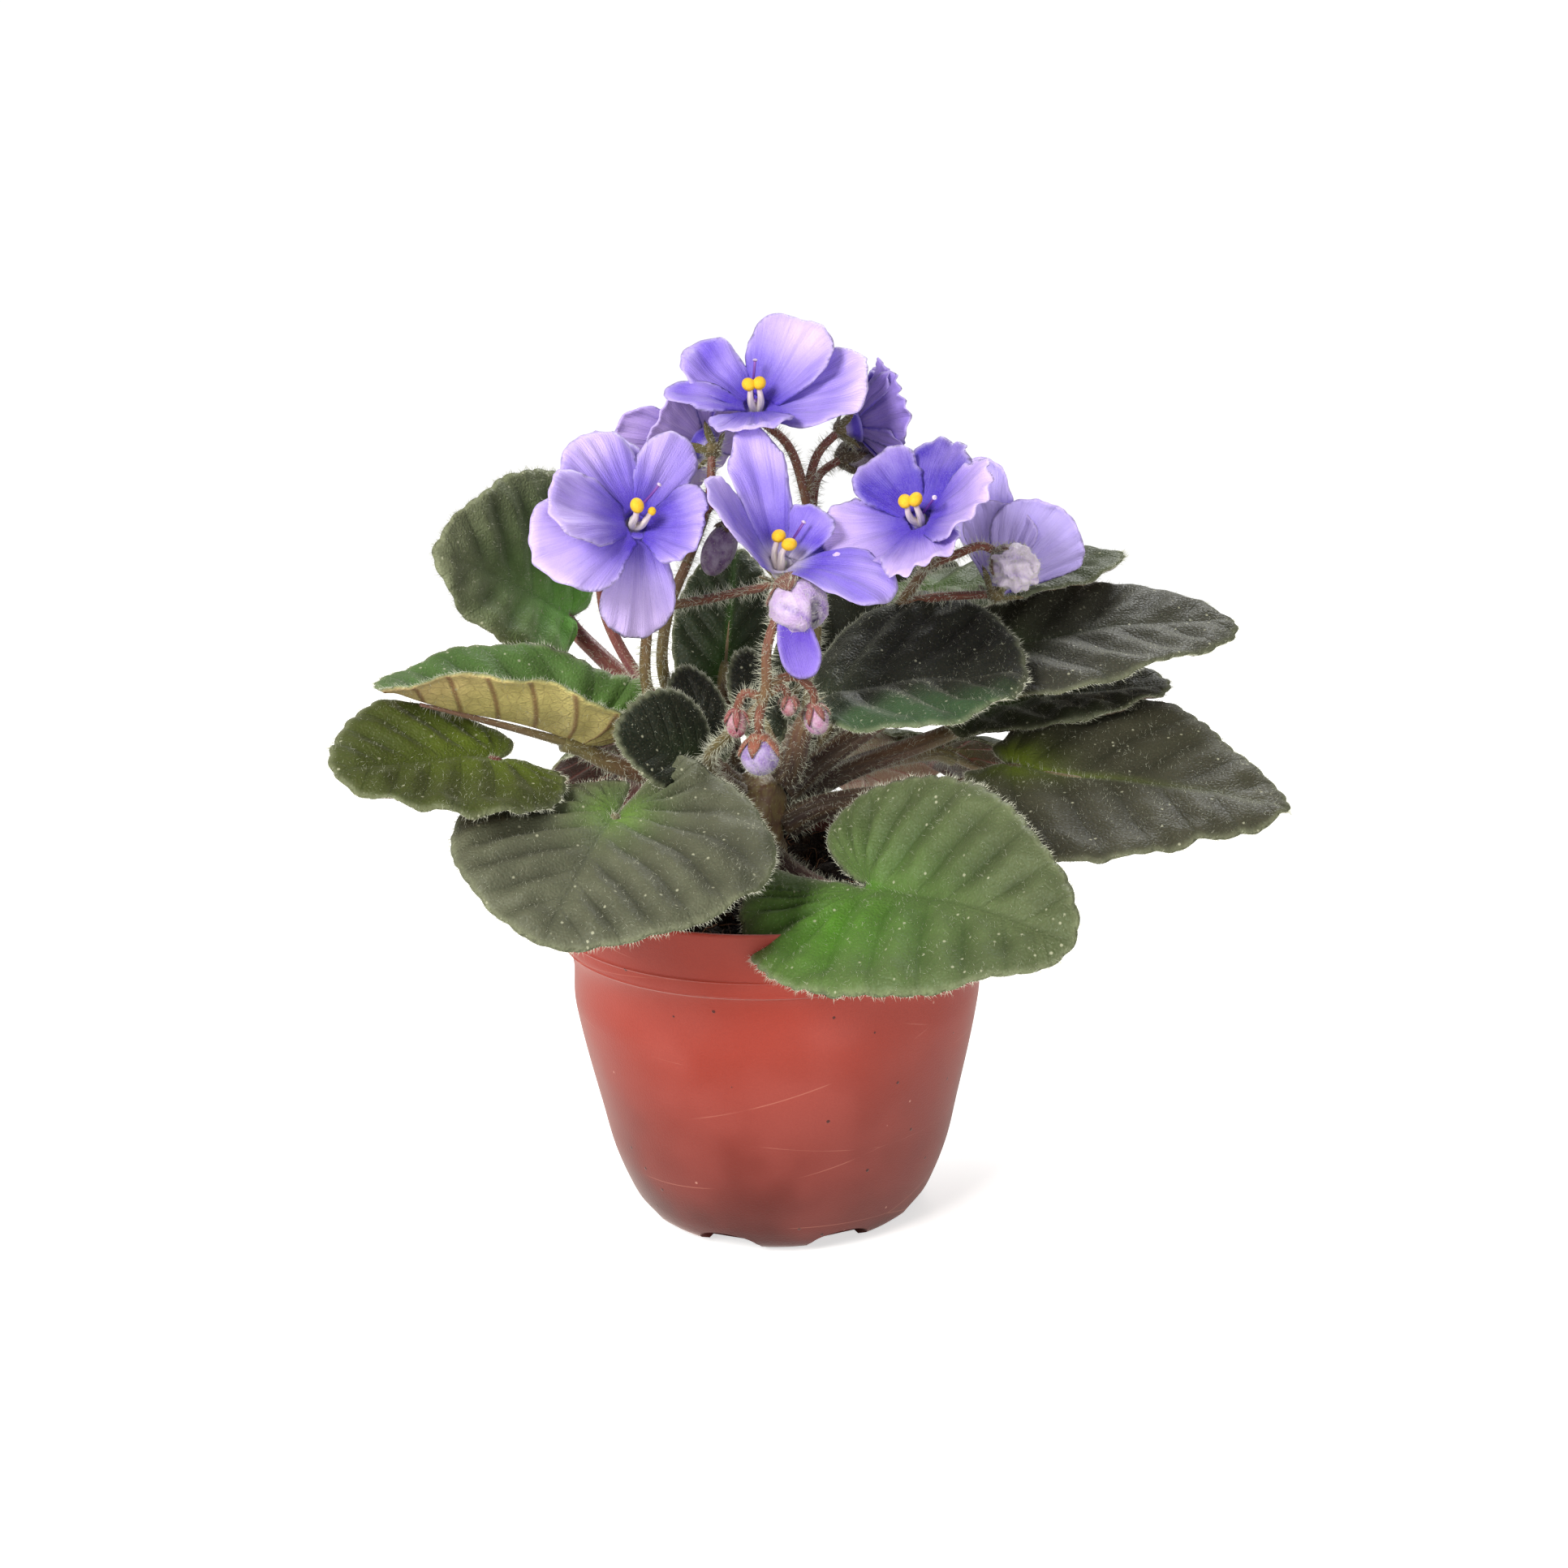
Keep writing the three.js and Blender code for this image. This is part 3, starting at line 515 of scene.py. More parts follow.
# %% Pot profile
POT_HEIGHT = 72
POT_OUTSIDE = [(45, 72), (43.6, 62.4), (43.1, 59.2), (42.7, 58.6), (41.2, 45.5), (36.8, 23.6), (34.5, 13.7),
               (32.4, 8), (30.6, 4.2), (28.4, 1.4), (25.5, 0)]
POT_INSIDE = [(43.8, 72), (42.3, 62.4), (41.6, 59.2), (39.9, 45.5), (35.5, 23.6), (31, 9.4), (24.6, 2.8)]
RIDGES, RIDGE_HEIGHT, RIDGE_WIDTH = (62.2, 59.0), 0.34, 0.22
SCALE_TO_FRAME = (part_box("pot")[1].z / MM) / POT_HEIGHT


def wall_radius(profile, z):
    """The profile's radius at a height, rounded by a smooth curve through its points."""
    r, h = np.array(profile[::-1]).T
    slope = np.gradient(r, h)
    k = np.clip(np.searchsorted(h, z) - 1, 0, len(h) - 2)
    w = h[k + 1] - h[k]
    t = (z - h[k]) / w
    start = (2 * t**3 - 3 * t**2 + 1) * r[k] + (t**3 - 2 * t**2 + t) * w * slope[k]
    return start + (3 * t**2 - 2 * t**3) * r[k + 1] + (t**3 - t**2) * w * slope[k + 1]


outer = [[0, 0], [14, 0], [23, 0]]
foot, lip = [0.05, 0.3, 0.7], [64, 66, 69, 71.2]
for z in np.concatenate([foot, np.linspace(1.2, 58, 46), np.arange(58.3, 63.1, 0.12), lip]):
    ridge = sum(RIDGE_HEIGHT * math.exp(-((z - at) / RIDGE_WIDTH) ** 2) for at in RIDGES)
    outer.append([wall_radius(POT_OUTSIDE, z) + ridge, z])
rim = [[44.9, 71.6], [44.75, 71.9], [44.4, 72], [44.1, 71.9], [43.85, 71.6]]
inner = [[wall_radius(POT_INSIDE, z), z] for z in np.linspace(70.5, 3.2, 26)]
pot_profile = np.array([*outer, *rim, *inner, [23, 2.3], [12, 2.2], [0, 2.2]])
print("pot profile:", len(pot_profile), "points; frame scale", round(SCALE_TO_FRAME, 4))

# %% Pot mesh
def lathe(profile, segments, wobble=None):
    """Turns a profile that starts and ends on the axis. wobble(angle, height) moves the radius."""
    turn = np.arange(segments) / segments * 2 * np.pi
    r, z = profile[1:-1].T
    rr, tt, zz = np.repeat(r, segments), np.tile(turn, len(r)), np.repeat(z, segments)
    if wobble is not None:
        rr = rr + wobble(tt, zz)
    points = np.stack([rr * np.cos(tt), rr * np.sin(tt), zz], 1)
    points = np.vstack([points, [[0, 0, profile[0, 1]], [0, 0, profile[-1, 1]]]])
    return points, ring_faces(len(r), segments, len(points) - 2, len(points) - 1), {}


def cut_away(made, cutters):
    """Cuts a part given in millimetres out of an object, with Blender's exact boolean."""
    points, faces, _ = cutters
    mesh = bpy.data.meshes.new("cutters")
    mesh.from_pydata((points * MM).tolist(), [], faces.tolist())
    tool = bpy.data.objects.new("cutters", mesh)
    bpy.context.scene.collection.objects.link(tool)
    step = made.modifiers.new("cut", "BOOLEAN")
    step.operation = "DIFFERENCE"
    step.solver = "EXACT"
    step.object = tool
    result_mesh = bpy.data.meshes.new_from_object(made.evaluated_get(bpy.context.evaluated_depsgraph_get()))
    made.modifiers.clear()
    made.data = result_mesh
    bpy.data.objects.remove(tool)
    return made


def drain_arches(count=8, width=13, height=3.2, centre=(32.5, 1.4)):
    """Round-topped bars that point outwards through the pot's bottom corner."""
    bars = []
    for i in range(count):
        a = (i + 0.5) * 2 * math.pi / count
        out = np.array([math.cos(a), math.sin(a), 0])
        path = np.array([out * (centre[0] + x) + [0, 0, centre[1]] for x in (-9.5, 0, 9.5)])
        points, faces, _ = tube(path, width / 2, sides=40)
        points[:, 2] = centre[1] + (points[:, 2] - centre[1]) * height / (width / 2)
        bars.append((points, faces, {}))
    return gather(bars)


print("pot wall:", len(lathe(pot_profile, 240)[1]), "triangles")

# %% [markdown]
# The plastic is a satin terracotta red, a little lighter where it has been rubbed and dusty, with dark
# specks of compost stuck to it and a few pale scratches. It is painted darker towards the foot, and near
# black inside the rim just above the compost: both are painted shade.

# %% Pot material
plastic, tree = new_material("terracotta plastic")
place = place_in_mm(tree)
uneven = use(tree, mottle, Place=place, Patch_size=22.0, Grain_size=0.35)
height_at = add(tree, "ShaderNodeSeparateXYZ", {0: place}).outputs["Z"]
# Painted shade: the colour runs darker towards the foot.
colour = tinted(tree, ramp(tree, height_at, -8, 62), shade(58, 20, 17), shade(168, 58, 41))
colour = washed(tree, uneven["Patches"], 0.28, colour, shade(188, 96, 86))
colour = washed(tree, uneven["Grain"], 0.10, colour, shade(120, 44, 38))
specks = use(tree, down, Place=place, Spacing=1.5, Share=0.012)["Flecks"]
speck_dots = ramp(tree, specks, 0.72, 0.95)
colour = washed(tree, speck_dots, 0.8, colour, shade(48, 24, 20))
dust = use(tree, down, Place=place, Spacing=1.2, Share=0.006)["Flecks"]
colour = tinted(tree, ramp(tree, dust, 0.8, 1.0, 0.0, 0.5), colour, shade(224, 170, 150))
stretched = scaled(tree, place, (0.25, 0.25, 1.6))
scratch = add(tree, "ShaderNodeTexVoronoi", {"Vector": stretched, "Scale": 0.045},
              feature="DISTANCE_TO_EDGE")
line = ramp(tree, scratch.outputs["Distance"], 0.0, 0.006, 1.0, 0.0)
broken = times(tree, line, ramp(tree, uneven["Patches"], 0.55, 0.9))
colour = washed(tree, broken, 0.35, colour, shade(222, 150, 128))
# Painted shade: the inside of the wall just above the compost is painted near black.
from_axis = scaled(tree, place, (1, 1, 0))
radius = add(tree, "ShaderNodeVectorMath", {0: from_axis}, operation="LENGTH").outputs["Value"]
wall_at = ramp(tree, height_at, 59, 72, 42.3, 44.3)
inside = ramp(tree, sum_of(tree, "SUBTRACT", wall_at, radius), 0.0, 0.5)
inner_wall_shade = times(tree, inside, ramp(tree, height_at, 59.5, 61.5))
colour = washed(tree, inner_wall_shade, 0.85, colour, shade(30, 18, 15))
rough = ramp(tree, uneven["Patches"], 0, 1, 0.42, 0.56)
relief = sum_of(tree, "ADD", times(tree, uneven["Grain"], 0.25), speck_dots)
surface(tree, colour, rough, relief, 0.06, Specular_IOR_Level=0.42, Sheen_Weight=0.6, Sheen_Roughness=0.35,
        Sheen_Tint=(1.0, 0.82, 0.76, 1))

pot = piece("pot_wall", [(lathe(pot_profile, 240), plastic)], "pot")
cut_away(pot, drain_arches())
for polygon in pot.data.polygons:
    polygon.use_smooth = True
pot.data.set_sharp_from_angle(angle=math.radians(38))
print("pot:", len(pot.data.polygons), "faces after the drain arches are cut")

# %% [markdown]
# ## The compost
# Moist peat is nearly black, crumbly, and threaded with brown fibres. The bed is a lathe whose top is
# pushed into lumps. Loose crumbs and fibres lie on it as real pieces, because a bump map alone looks flat
# at the pot's edge.

# %% Compost bed
SOIL_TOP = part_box("soil")[1].z / MM
BED_EDGE = 42.3


def lumps(x, y):
    """Height of the bed above its level, in mm."""
    spot = np.stack([x, y], 1)
    rng = seeded("lumps")
    coarse = waves(spot, 14, rng) * 0.9 + waves(spot, 6, rng) * 0.6 + waves(spot, 2.6, rng) * 0.35
    return coarse * smooth(BED_EDGE - np.hypot(x, y), 0.2, 3)


def bed_height(x, y):
    r = np.hypot(x, y)
    return SOIL_TOP - 1.3 - 1.6 * smooth(r, 20, BED_EDGE) + lumps(x, y)


side = [[wall_radius(POT_INSIDE, z) - 0.4, z] for z in np.linspace(9.4, SOIL_TOP - 3, 12)]
top = [[r, SOIL_TOP] for r in np.linspace(wall_radius(POT_INSIDE, SOIL_TOP - 2) - 0.45, 0.6, 62)]
points, faces, _ = lathe(np.array([[0, 9.4], *side, *top, [0, SOIL_TOP]]), 200)
is_top = points[:, 2] > SOIL_TOP - 0.1
points[is_top, 2] = bed_height(*points[is_top, :2].T)
bed = (points, faces, {})
print("compost bed:", len(faces), "triangles")

# %% Crumbs and fibres
def crumbs(count, rng):
    """Small broken lumps strewn over the bed."""
    made = []
    for _ in range(count):
        r, a = BED_EDGE * 0.97 * math.sqrt(rng.uniform(0.02, 1)), rng.uniform(0, 2 * np.pi)
        x, y = np.array([r * math.cos(a)]), np.array([r * math.sin(a)])
        size = rng.uniform(0.35, 1.5) * np.array([1, rng.uniform(0.6, 1), rng.uniform(0.5, 0.8)])
        at = [x[0], y[0], bed_height(x, y)[0] + size[2] * 0.3]
        part = ball(at, size, turned_to(rng.normal(size=3)), rings=5, segments=8)
        jag = 1 + 0.22 * rng.normal(size=(len(part[0]), 1))
        shade_of = np.full(len(part[0]), rng.uniform(0, 1))
        made.append((np.array(at) + (part[0] - at) * jag, part[1], {"pale": shade_of}))
    return gather(made)


def fibres(count, rng):
    """Bent strands of peat and coir that lie on the bed and stick up a little."""
    made = []
    for _ in range(count):
        r, a = BED_EDGE * 0.96 * math.sqrt(rng.uniform(0.05, 1)), rng.uniform(0, 2 * np.pi)
        start = np.array([r * math.cos(a), r * math.sin(a)])
        way, length = rng.uniform(0, 2 * np.pi), rng.uniform(2.5, 9)
        steps = np.linspace(0, 1, 6)
        bow = rng.uniform(-0.9, 0.9)
        turn = way + bow * steps
        flat = start + length * np.stack([steps * np.cos(turn), steps * np.sin(turn)], 1)
        inside = np.minimum(1, BED_EDGE * 0.97 / np.linalg.norm(flat, axis=1))
        flat = flat * inside[:, None]
        rise = 0.15 + rng.uniform(0.0, 1.1) * np.sin(steps * np.pi * rng.uniform(0.5, 1)) ** 2
        path = np.column_stack([flat, bed_height(*flat.T) + rise])
        part = tube(path, rng.uniform(0.07, 0.2) * (1 - 0.5 * steps), sides=5)
        made.append((part[0], part[1], {"pale": np.full(len(part[0]), rng.uniform(0, 1))}))
    return gather(made)


loose = crumbs(420, seeded("crumbs"))
strands = fibres(260, seeded("fibres"))
print("crumbs:", len(loose[1]), "fibres:", len(strands[1]), "triangles")

# %% Compost materials
peat, tree = new_material("moist peat")
place = place_in_mm(tree)
uneven = use(tree, mottle, Place=place, Patch_size=5.0, Grain_size=0.7)
colour = tinted(tree, uneven["Patches"], shade(24, 16, 13), shade(46, 32, 24))
colour = washed(tree, uneven["Grain"], 0.6, colour, shade(12, 8, 7))
colour = washed(tree, read(tree, "pale"), 0.35, colour, shade(92, 66, 44))
rough = ramp(tree, uneven["Grain"], 0, 1, 0.7, 0.95)
surface(tree, colour, rough, uneven["Grain"], 0.5, Specular_IOR_Level=0.3)

fibre, tree = new_material("peat fibre")
uneven = use(tree, mottle, Place=place_in_mm(tree), Patch_size=2.0, Grain_size=0.4)
colour = tinted(tree, read(tree, "pale"), shade(70, 44, 28), shade(150, 104, 66))
colour = washed(tree, uneven["Patches"], 0.4, colour, shade(60, 38, 26))
surface(tree, colour, 0.75, uneven["Grain"], 0.1)

piece("compost", [(bed, peat)], "soil")
piece("compost_crumbs", [(loose, peat)])
piece("compost_fibres", [(strands, fibre)])
print("compost placed, top at", round(SOIL_TOP, 1), "mm")

# %% [markdown]
# ## The crown
# The crown is the short thick stem that everything grows from. It is rough with the scars of old leaves, so
# the lathe's radius wobbles in rings and knobs.

# %% Crown
crown_low, crown_high = (np.array(corner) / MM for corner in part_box("crown"))
CROWN = (crown_low + crown_high) / 2
CROWN_R = (crown_high[0] - crown_low[0]) / 2
CROWN_PROFILE = [(0, 0), (3.4, 0), (5, 6), (5.5, 12), (6.2, 24), (5, 31), (2.5, 32.6), (0, 33)]


def knobs(turn, z):
    spot = np.stack([np.cos(turn) * 6, np.sin(turn) * 6, z], 1)
    return waves(spot, 5, seeded("knobs")) * 0.35 + 0.15 * np.sin(z * 1.9)


r, z = np.array(CROWN_PROFILE).T
at = np.linspace(0, len(r) - 1, 60)
profile = np.stack([np.interp(at, np.arange(len(r)), r), np.interp(at, np.arange(len(r)), z)], 1)
profile[1:-1, 0] = np.maximum(profile[1:-1, 0], 0.3)
points, faces, _ = lathe(profile, 72, knobs)
marks = {"share": points[:, 2] / CROWN_PROFILE[-1][1], "turn": np.zeros(len(points))}
crown = (points + [CROWN[0], CROWN[1], crown_low[2]], faces, marks)
print("crown at", CROWN.round(1), "radius", round(CROWN_R, 1))

# %% [markdown]
# ## Leaf and stalk materials
# A leaf's broad colours are painted at its points: the main green, the bright spot where the stalk joins,
# the pale margin, painted shade along the veins where the quilting dips, and the reddish underside. The
# material adds what is finer than the mesh: the vein lines, the net between them, mottling, sparse pale
# specks that are painted glints on the hairs, and the pale nap of hairs, which sheen turns grey where the
# surface tips away, as on velvet.

# %% Leaf material
foliage, tree = new_material("leaf")
along, across, order = read(tree, "along"), read(tree, "across"), read(tree, "order")
blade = read(tree, "blade")
lane = add(tree, "ShaderNodeCombineXYZ", {"X": along, "Y": across}).outputs[0]
place = place_in_mm(tree)
uneven = use(tree, mottle, Place=place, Patch_size=4.5, Grain_size=0.45)
hairs = use(tree, down, Place=place, Spacing=0.45, Share=0.4)
specks = use(tree, down, Place=place, Spacing=0.9, Share=0.035)["Flecks"]
whole = sum_of(tree, "FRACT", sum_of(tree, "ADD", order, 0.5))
from_side = times(tree, sum_of(tree, "ABSOLUTE", sum_of(tree, "SUBTRACT", whole, 0.5)), 8.0)
from_middle = sum_of(tree, "ABSOLUTE", across)
from_vein = sum_of(tree, "SMOOTH_MIN", from_side, from_middle, 0.6)
is_under = ramp(tree, blade, -0.2, 0.2, 1.0, 0.0)
vein = ramp(tree, from_vein, 0.1, sum_of(tree, "MULTIPLY_ADD", is_under, 0.3, 0.7), 1.0, 0.0)
flat = {"feature": "DISTANCE_TO_EDGE", "voronoi_dimensions": "2D"}
net = add(tree, "ShaderNodeTexVoronoi", {"Vector": lane, "Scale": 0.42}, **flat)
mesh_line = ramp(tree, net.outputs["Distance"], 0.0, 0.11, 1.0, 0.0)
on_blade = ramp(tree, sum_of(tree, "ABSOLUTE", blade), 0.3, 0.9)
lines = times(tree, sum_of(tree, "MAXIMUM", vein, times(tree, mesh_line, 0.3)), on_blade)
tint = read(tree, "tint", "Color")
top_vein = tinted(tree, 0.55, tint, shade(26, 34, 20))
under_vein = tinted(tree, 0.8, tint, shade(122, 66, 56))
colour = washed(tree, uneven["Patches"], 0.35, tint, tinted(tree, 0.45, tint, shade(28, 34, 20)))
colour = washed(tree, uneven["Grain"], 0.22, colour, tinted(tree, 0.5, colour, shade(96, 80, 62)))
line_share = times(tree, lines, sum_of(tree, "MULTIPLY_ADD", is_under, 0.65, 0.25))
colour = tinted(tree, line_share, colour, tinted(tree, is_under, top_vein, under_vein))
colour = washed(tree, hairs["Flecks"], 0.5, colour,
                tinted(tree, 0.14, tint, shade(190, 196, 160)))
# Painted glints: sparse pale specks on the hairs.
colour = washed(tree, specks, 0.5, colour, shade(206, 206, 176))
rough = ramp(tree, uneven["Grain"], 0, 1, 0.5, 0.68)
dent = times(tree, lines, ramp(tree, blade, -0.2, 0.2, 0.9, -0.4))
relief = sum_of(tree, "ADD", dent, times(tree, hairs["Nap"], 0.7))
surface(tree, colour, rough, relief, 0.22, Specular_IOR_Level=0.22, Sheen_Weight=0.14, Sheen_Roughness=0.4,
        Sheen_Tint=(0.6, 0.62, 0.46, 1))

# %% Stalk material
stalk_skin, tree = new_material("hairy stalk")
place = place_in_mm(tree)
uneven = use(tree, mottle, Place=place, Patch_size=3.0, Grain_size=0.4)
around, along = read(tree, "turn"), read(tree, "share")
lines = use(tree, streaks, Across=around, Along=along, Fineness=2.4, Run=3.0)["Lines"]
tint = read(tree, "tint", "Color")
colour = washed(tree, uneven["Patches"], 0.45, tint, tinted(tree, 0.6, tint, shade(60, 30, 28)))
colour = washed(tree, lines, 0.8, colour, tinted(tree, 0.22, tint, shade(150, 128, 84)))
hairs = use(tree, down, Place=place, Spacing=0.5, Share=0.3)
colour = washed(tree, hairs["Flecks"], 0.8, colour,
                tinted(tree, 0.25, tint, shade(214, 200, 178)))
relief = sum_of(tree, "ADD", times(tree, lines, 0.6), times(tree, hairs["Nap"], 0.4))
surface(tree, colour, ramp(tree, uneven["Grain"], 0, 1, 0.42, 0.6), relief, 0.12, Specular_IOR_Level=0.4,
        Sheen_Weight=0.25, Sheen_Tint=(0.7, 0.66, 0.6, 1))

woody = np.tile(shade(106, 92, 52), (len(crown[0]), 1))
crown[2]["tint"] = mix(woody, shade(84, 54, 36), smooth(seeded("scars").random(len(woody)), 0.3, 0.9))
piece("crown_stem", [(crown, stalk_skin)], "crown")
print("leaf and stalk materials ready")

# %% [markdown]
# ## Leaf shapes
# Each leaf has its own numbers, the same as its solid's: base, the joint between stalk and blade, the tip,
# and then pairs for the leaf's left and right side: the half widths, how far the two lobes reach back
# behind the joint, how many degrees each side is folded up, and how wide the notch at the stalk is.
# flat_left is the share of the left fold that is gone at the tip. roll turns the blade about its midrib,
# arch bends it lengthwise, lift raises the lobes and point draws out the tip. The stalk grows from the
# crown at the height grows, sets off upwards by rise, and comes up into the blade at the angle dip. The
# sheet below bends a flat outline by those numbers.

# %% Leaf numbers
COMMON_LEAF = dict(lobes=(3, 4), roll=0, fold=(6, 6), lift=0, notch=(0.5, 0.5), dip=25, rise=0.18,
                   flat_left=0)
OWN_NUMBERS = {
    "leaf_front_left": dict(
        base=(-29, -31, 92), tip=(-40, -66, 79), half=(28, 34), lobes=(11, 19), roll=20, arch=30,
        fold=(-10, 12), lift=3, point=0.07, notch=(0.04, 0.14), grows=78, dip=62, rise=0.05,
    ),
    "leaf_front_right": dict(
        base=(17, -41, 80), tip=(49, -78, 81), half=(27, 23), lobes=(26, 21), roll=-38, arch=16,
        fold=(11, 20), lift=1, point=0.2, notch=(0.06, 0.3), grows=74, dip=55, rise=-0.03,
    ),
    "leaf_right": dict(
        base=(47, -8, 94), tip=(97, -29, 89), half=(30, 32), lobes=(8, 6), roll=-11, arch=2,
        fold=(-6, 9), point=0.3, grows=80, dip=45,
    ),
    "leaf_right_upper": dict(
        base=(42, 15, 111), tip=(96, 16, 116), half=(25, 27), lobes=(11, 8), roll=-14, arch=19,
        fold=(3, 3), point=0.2, grows=86,
    ),
    "leaf_centre_right": dict(
        base=(10, -4, 107), tip=(50, -11, 112), half=(24, 28), lobes=(1, 3), roll=-19, arch=18,
        fold=(12, 12), point=0.02, notch=(0.3, 0.3), grows=90,
    ),
    "leaf_left_upper": dict(
        base=(-42, 39, 117), tip=(-64, 1, 137), half=(28, 16), lobes=(9, 6), roll=83, arch=22,
        fold=(14, 10), point=0.12, notch=(0.45, 0.45), grows=86,
    ),
    "leaf_left_low": dict(
        base=(-51.5, -22, 101.5), tip=(-78, -44, 104.5), half=(18, 22), lobes=(7, 11), roll=25, arch=12,
        fold=(6, 9), lift=3, point=0.1, notch=(0.4, 0.4), grows=79, dip=60, rise=0.1,
    ),
    "leaf_left_folded": dict(
        base=(-36.5, -8, 101), tip=(-71.5, -29, 117), half=(22, 18), lobes=(16, 16), arch=3,
        fold=(72, 42), flat_left=0.9, lift=8, point=0.02, notch=(0.3, 0.3), grows=84,
    ),
    "leaf_left_behind": dict(
        base=(-34, 19, 129), tip=(-29, 0, 151), half=(12, 12), lobes=(3, 3), arch=15, point=0.05,
        notch=(0.4, 0.4), grows=88,
    ),
    "leaf_middle": dict(
        base=(-9, 10, 108), tip=(-6, 27, 132.5), half=(15, 20), lobes=(6, 8), arch=14, point=0.02,
        notch=(0.4, 0.4), grows=90,
    ),
    "leaf_young_back": dict(
        base=(-11, -5, 97), tip=(-17, 2, 113), half=(11, 14), roll=20, arch=16, fold=(8, 8), point=0.04,
        notch=(0.4, 0.4), grows=90,
    ),
    "leaf_young_left": dict(
        base=(-14, -13, 97), tip=(-29, -20, 106), half=(13, 11), roll=60, arch=20, fold=(10, 12),
        point=0.04, notch=(0.4, 0.4), grows=88,
    ),
    "leaf_young_right": dict(
        base=(0, 0, 99), tip=(-5, 8, 115), half=(10, 12), roll=15, arch=14, fold=(8, 8), point=0.04,
        notch=(0.4, 0.4), grows=91,
    ),
    "leaf_right_under": dict(
        base=(44, 22, 98), tip=(82, 12, 104), half=(20, 18), lobes=(8, 8), roll=-8, arch=10,
        fold=(5, 5), point=0.1, grows=82,
    ),
    "leaf_back_right": dict(
        base=(32, 38, 120), tip=(76, 36, 128), half=(20, 18), lobes=(8, 8), roll=-5, arch=-10,
        fold=(5, 5), point=0.08, grows=84,
    ),
    "leaf_back_middle": dict(
        base=(7, 44, 99), tip=(42, 60, 124), half=(18, 16), lobes=(8, 8), roll=-50, arch=20, point=0.06,
        grows=86,
    ),
    "leaf_back_low_left": dict(
        base=(-25, 44, 91), tip=(-42, 73, 61), half=(27, 27), lobes=(9, 9), roll=4, arch=26, point=0.06,
        grows=80,
    ),
    "leaf_back_low": dict(
        base=(14, 42, 90), tip=(24, 86, 62), half=(26, 25), lobes=(9, 9), roll=-6, arch=26, point=0.08,
        grows=79,
    ),
    "leaf_back_low_right": dict(
        base=(37, 34, 87), tip=(70, 56, 60), half=(24, 24), lobes=(9, 9), roll=15, arch=24, point=0.1,
        grows=80,
    ),
}
LEAVES = {name: {**COMMON_LEAF, **own} for name, own in OWN_NUMBERS.items()}
print(len(LEAVES), "leaves")

# %% The bent sheet that a blade lies on
def leaf_axes(leaf):
    """The blade's own axes at its joint: forwards, to its left, and out of its upper face."""
    forward = unit(np.subtract(leaf["tip"], leaf["base"]))
    side = np.cross(forward, [0, 0, 1])
    out = np.cross(side, forward)
    roll = math.radians(leaf["roll"])
    cos, sin = math.cos(roll), math.sin(roll)
    return forward, side * cos + out * sin, out * cos - side * sin


def leaf_length(leaf):
    """The midrib's length along its arch."""
    chord = np.linalg.norm(np.subtract(leaf["tip"], leaf["base"]))
    arch = math.radians(leaf["arch"])
    return chord * (arch / 2) / math.sin(arch / 2)


def leaf_sheet(leaf):
    """A function that lays flat points in space: along is forwards from the joint, across to its left."""
    forward, side, out = leaf_axes(leaf)
    length, arch = leaf_length(leaf), math.radians(leaf["arch"])
    bend = arch / length

    def lay(along, across):
        front, back = np.maximum(along, 0), np.minimum(along, 0)
        turn = arch / 2 - bend * front
        x = (math.sin(arch / 2) - np.sin(turn)) / bend + back * math.cos(arch / 2)
        z = (np.cos(turn) - math.cos(arch / 2)) / bend + back * math.sin(arch / 2)
        up = np.outer(-np.sin(turn), forward) + np.outer(np.cos(turn), out)
        flatter = np.where(across > 0, leaf["flat_left"], 0)
        still_folded = np.maximum(0, 1 - flatter * front / length)
        fold = np.radians(np.where(across > 0, *leaf["fold"])) * still_folded
        run = np.sqrt(across**2 + 9) - 3
        sideways = across - np.sign(across) * run * (1 - np.cos(fold))
        rise = run * np.sin(fold) + leaf["lift"] * (back / 12) ** 2
        flat = np.outer(x, forward) + np.outer(z, out) + np.outer(sideways, side)
        return np.array(leaf["base"]) + flat + up * rise[:, None]

    return lay


for name, leaf in LEAVES.items():
    tip = leaf_sheet(leaf)(np.array([leaf_length(leaf)]), np.array([0.0]))[0]
    assert np.linalg.norm(tip - leaf["tip"]) < 0.01, name
print("every sheet ends at its leaf's tip")

# %% [markdown]
# ### Margin, veins and quilting
# The outline is an oval about the joint, drawn out to a point at the tip and notched where the stalk comes
# in, with small round scallops all the way round. Side veins leave the midrib and sweep forwards, and the
# ones nearest the stalk fan back into the lobes. Counting them gives every point an order number that is
# whole on a vein. The blade swells between veins and dips along them, which is what makes the leaf look
# quilted.

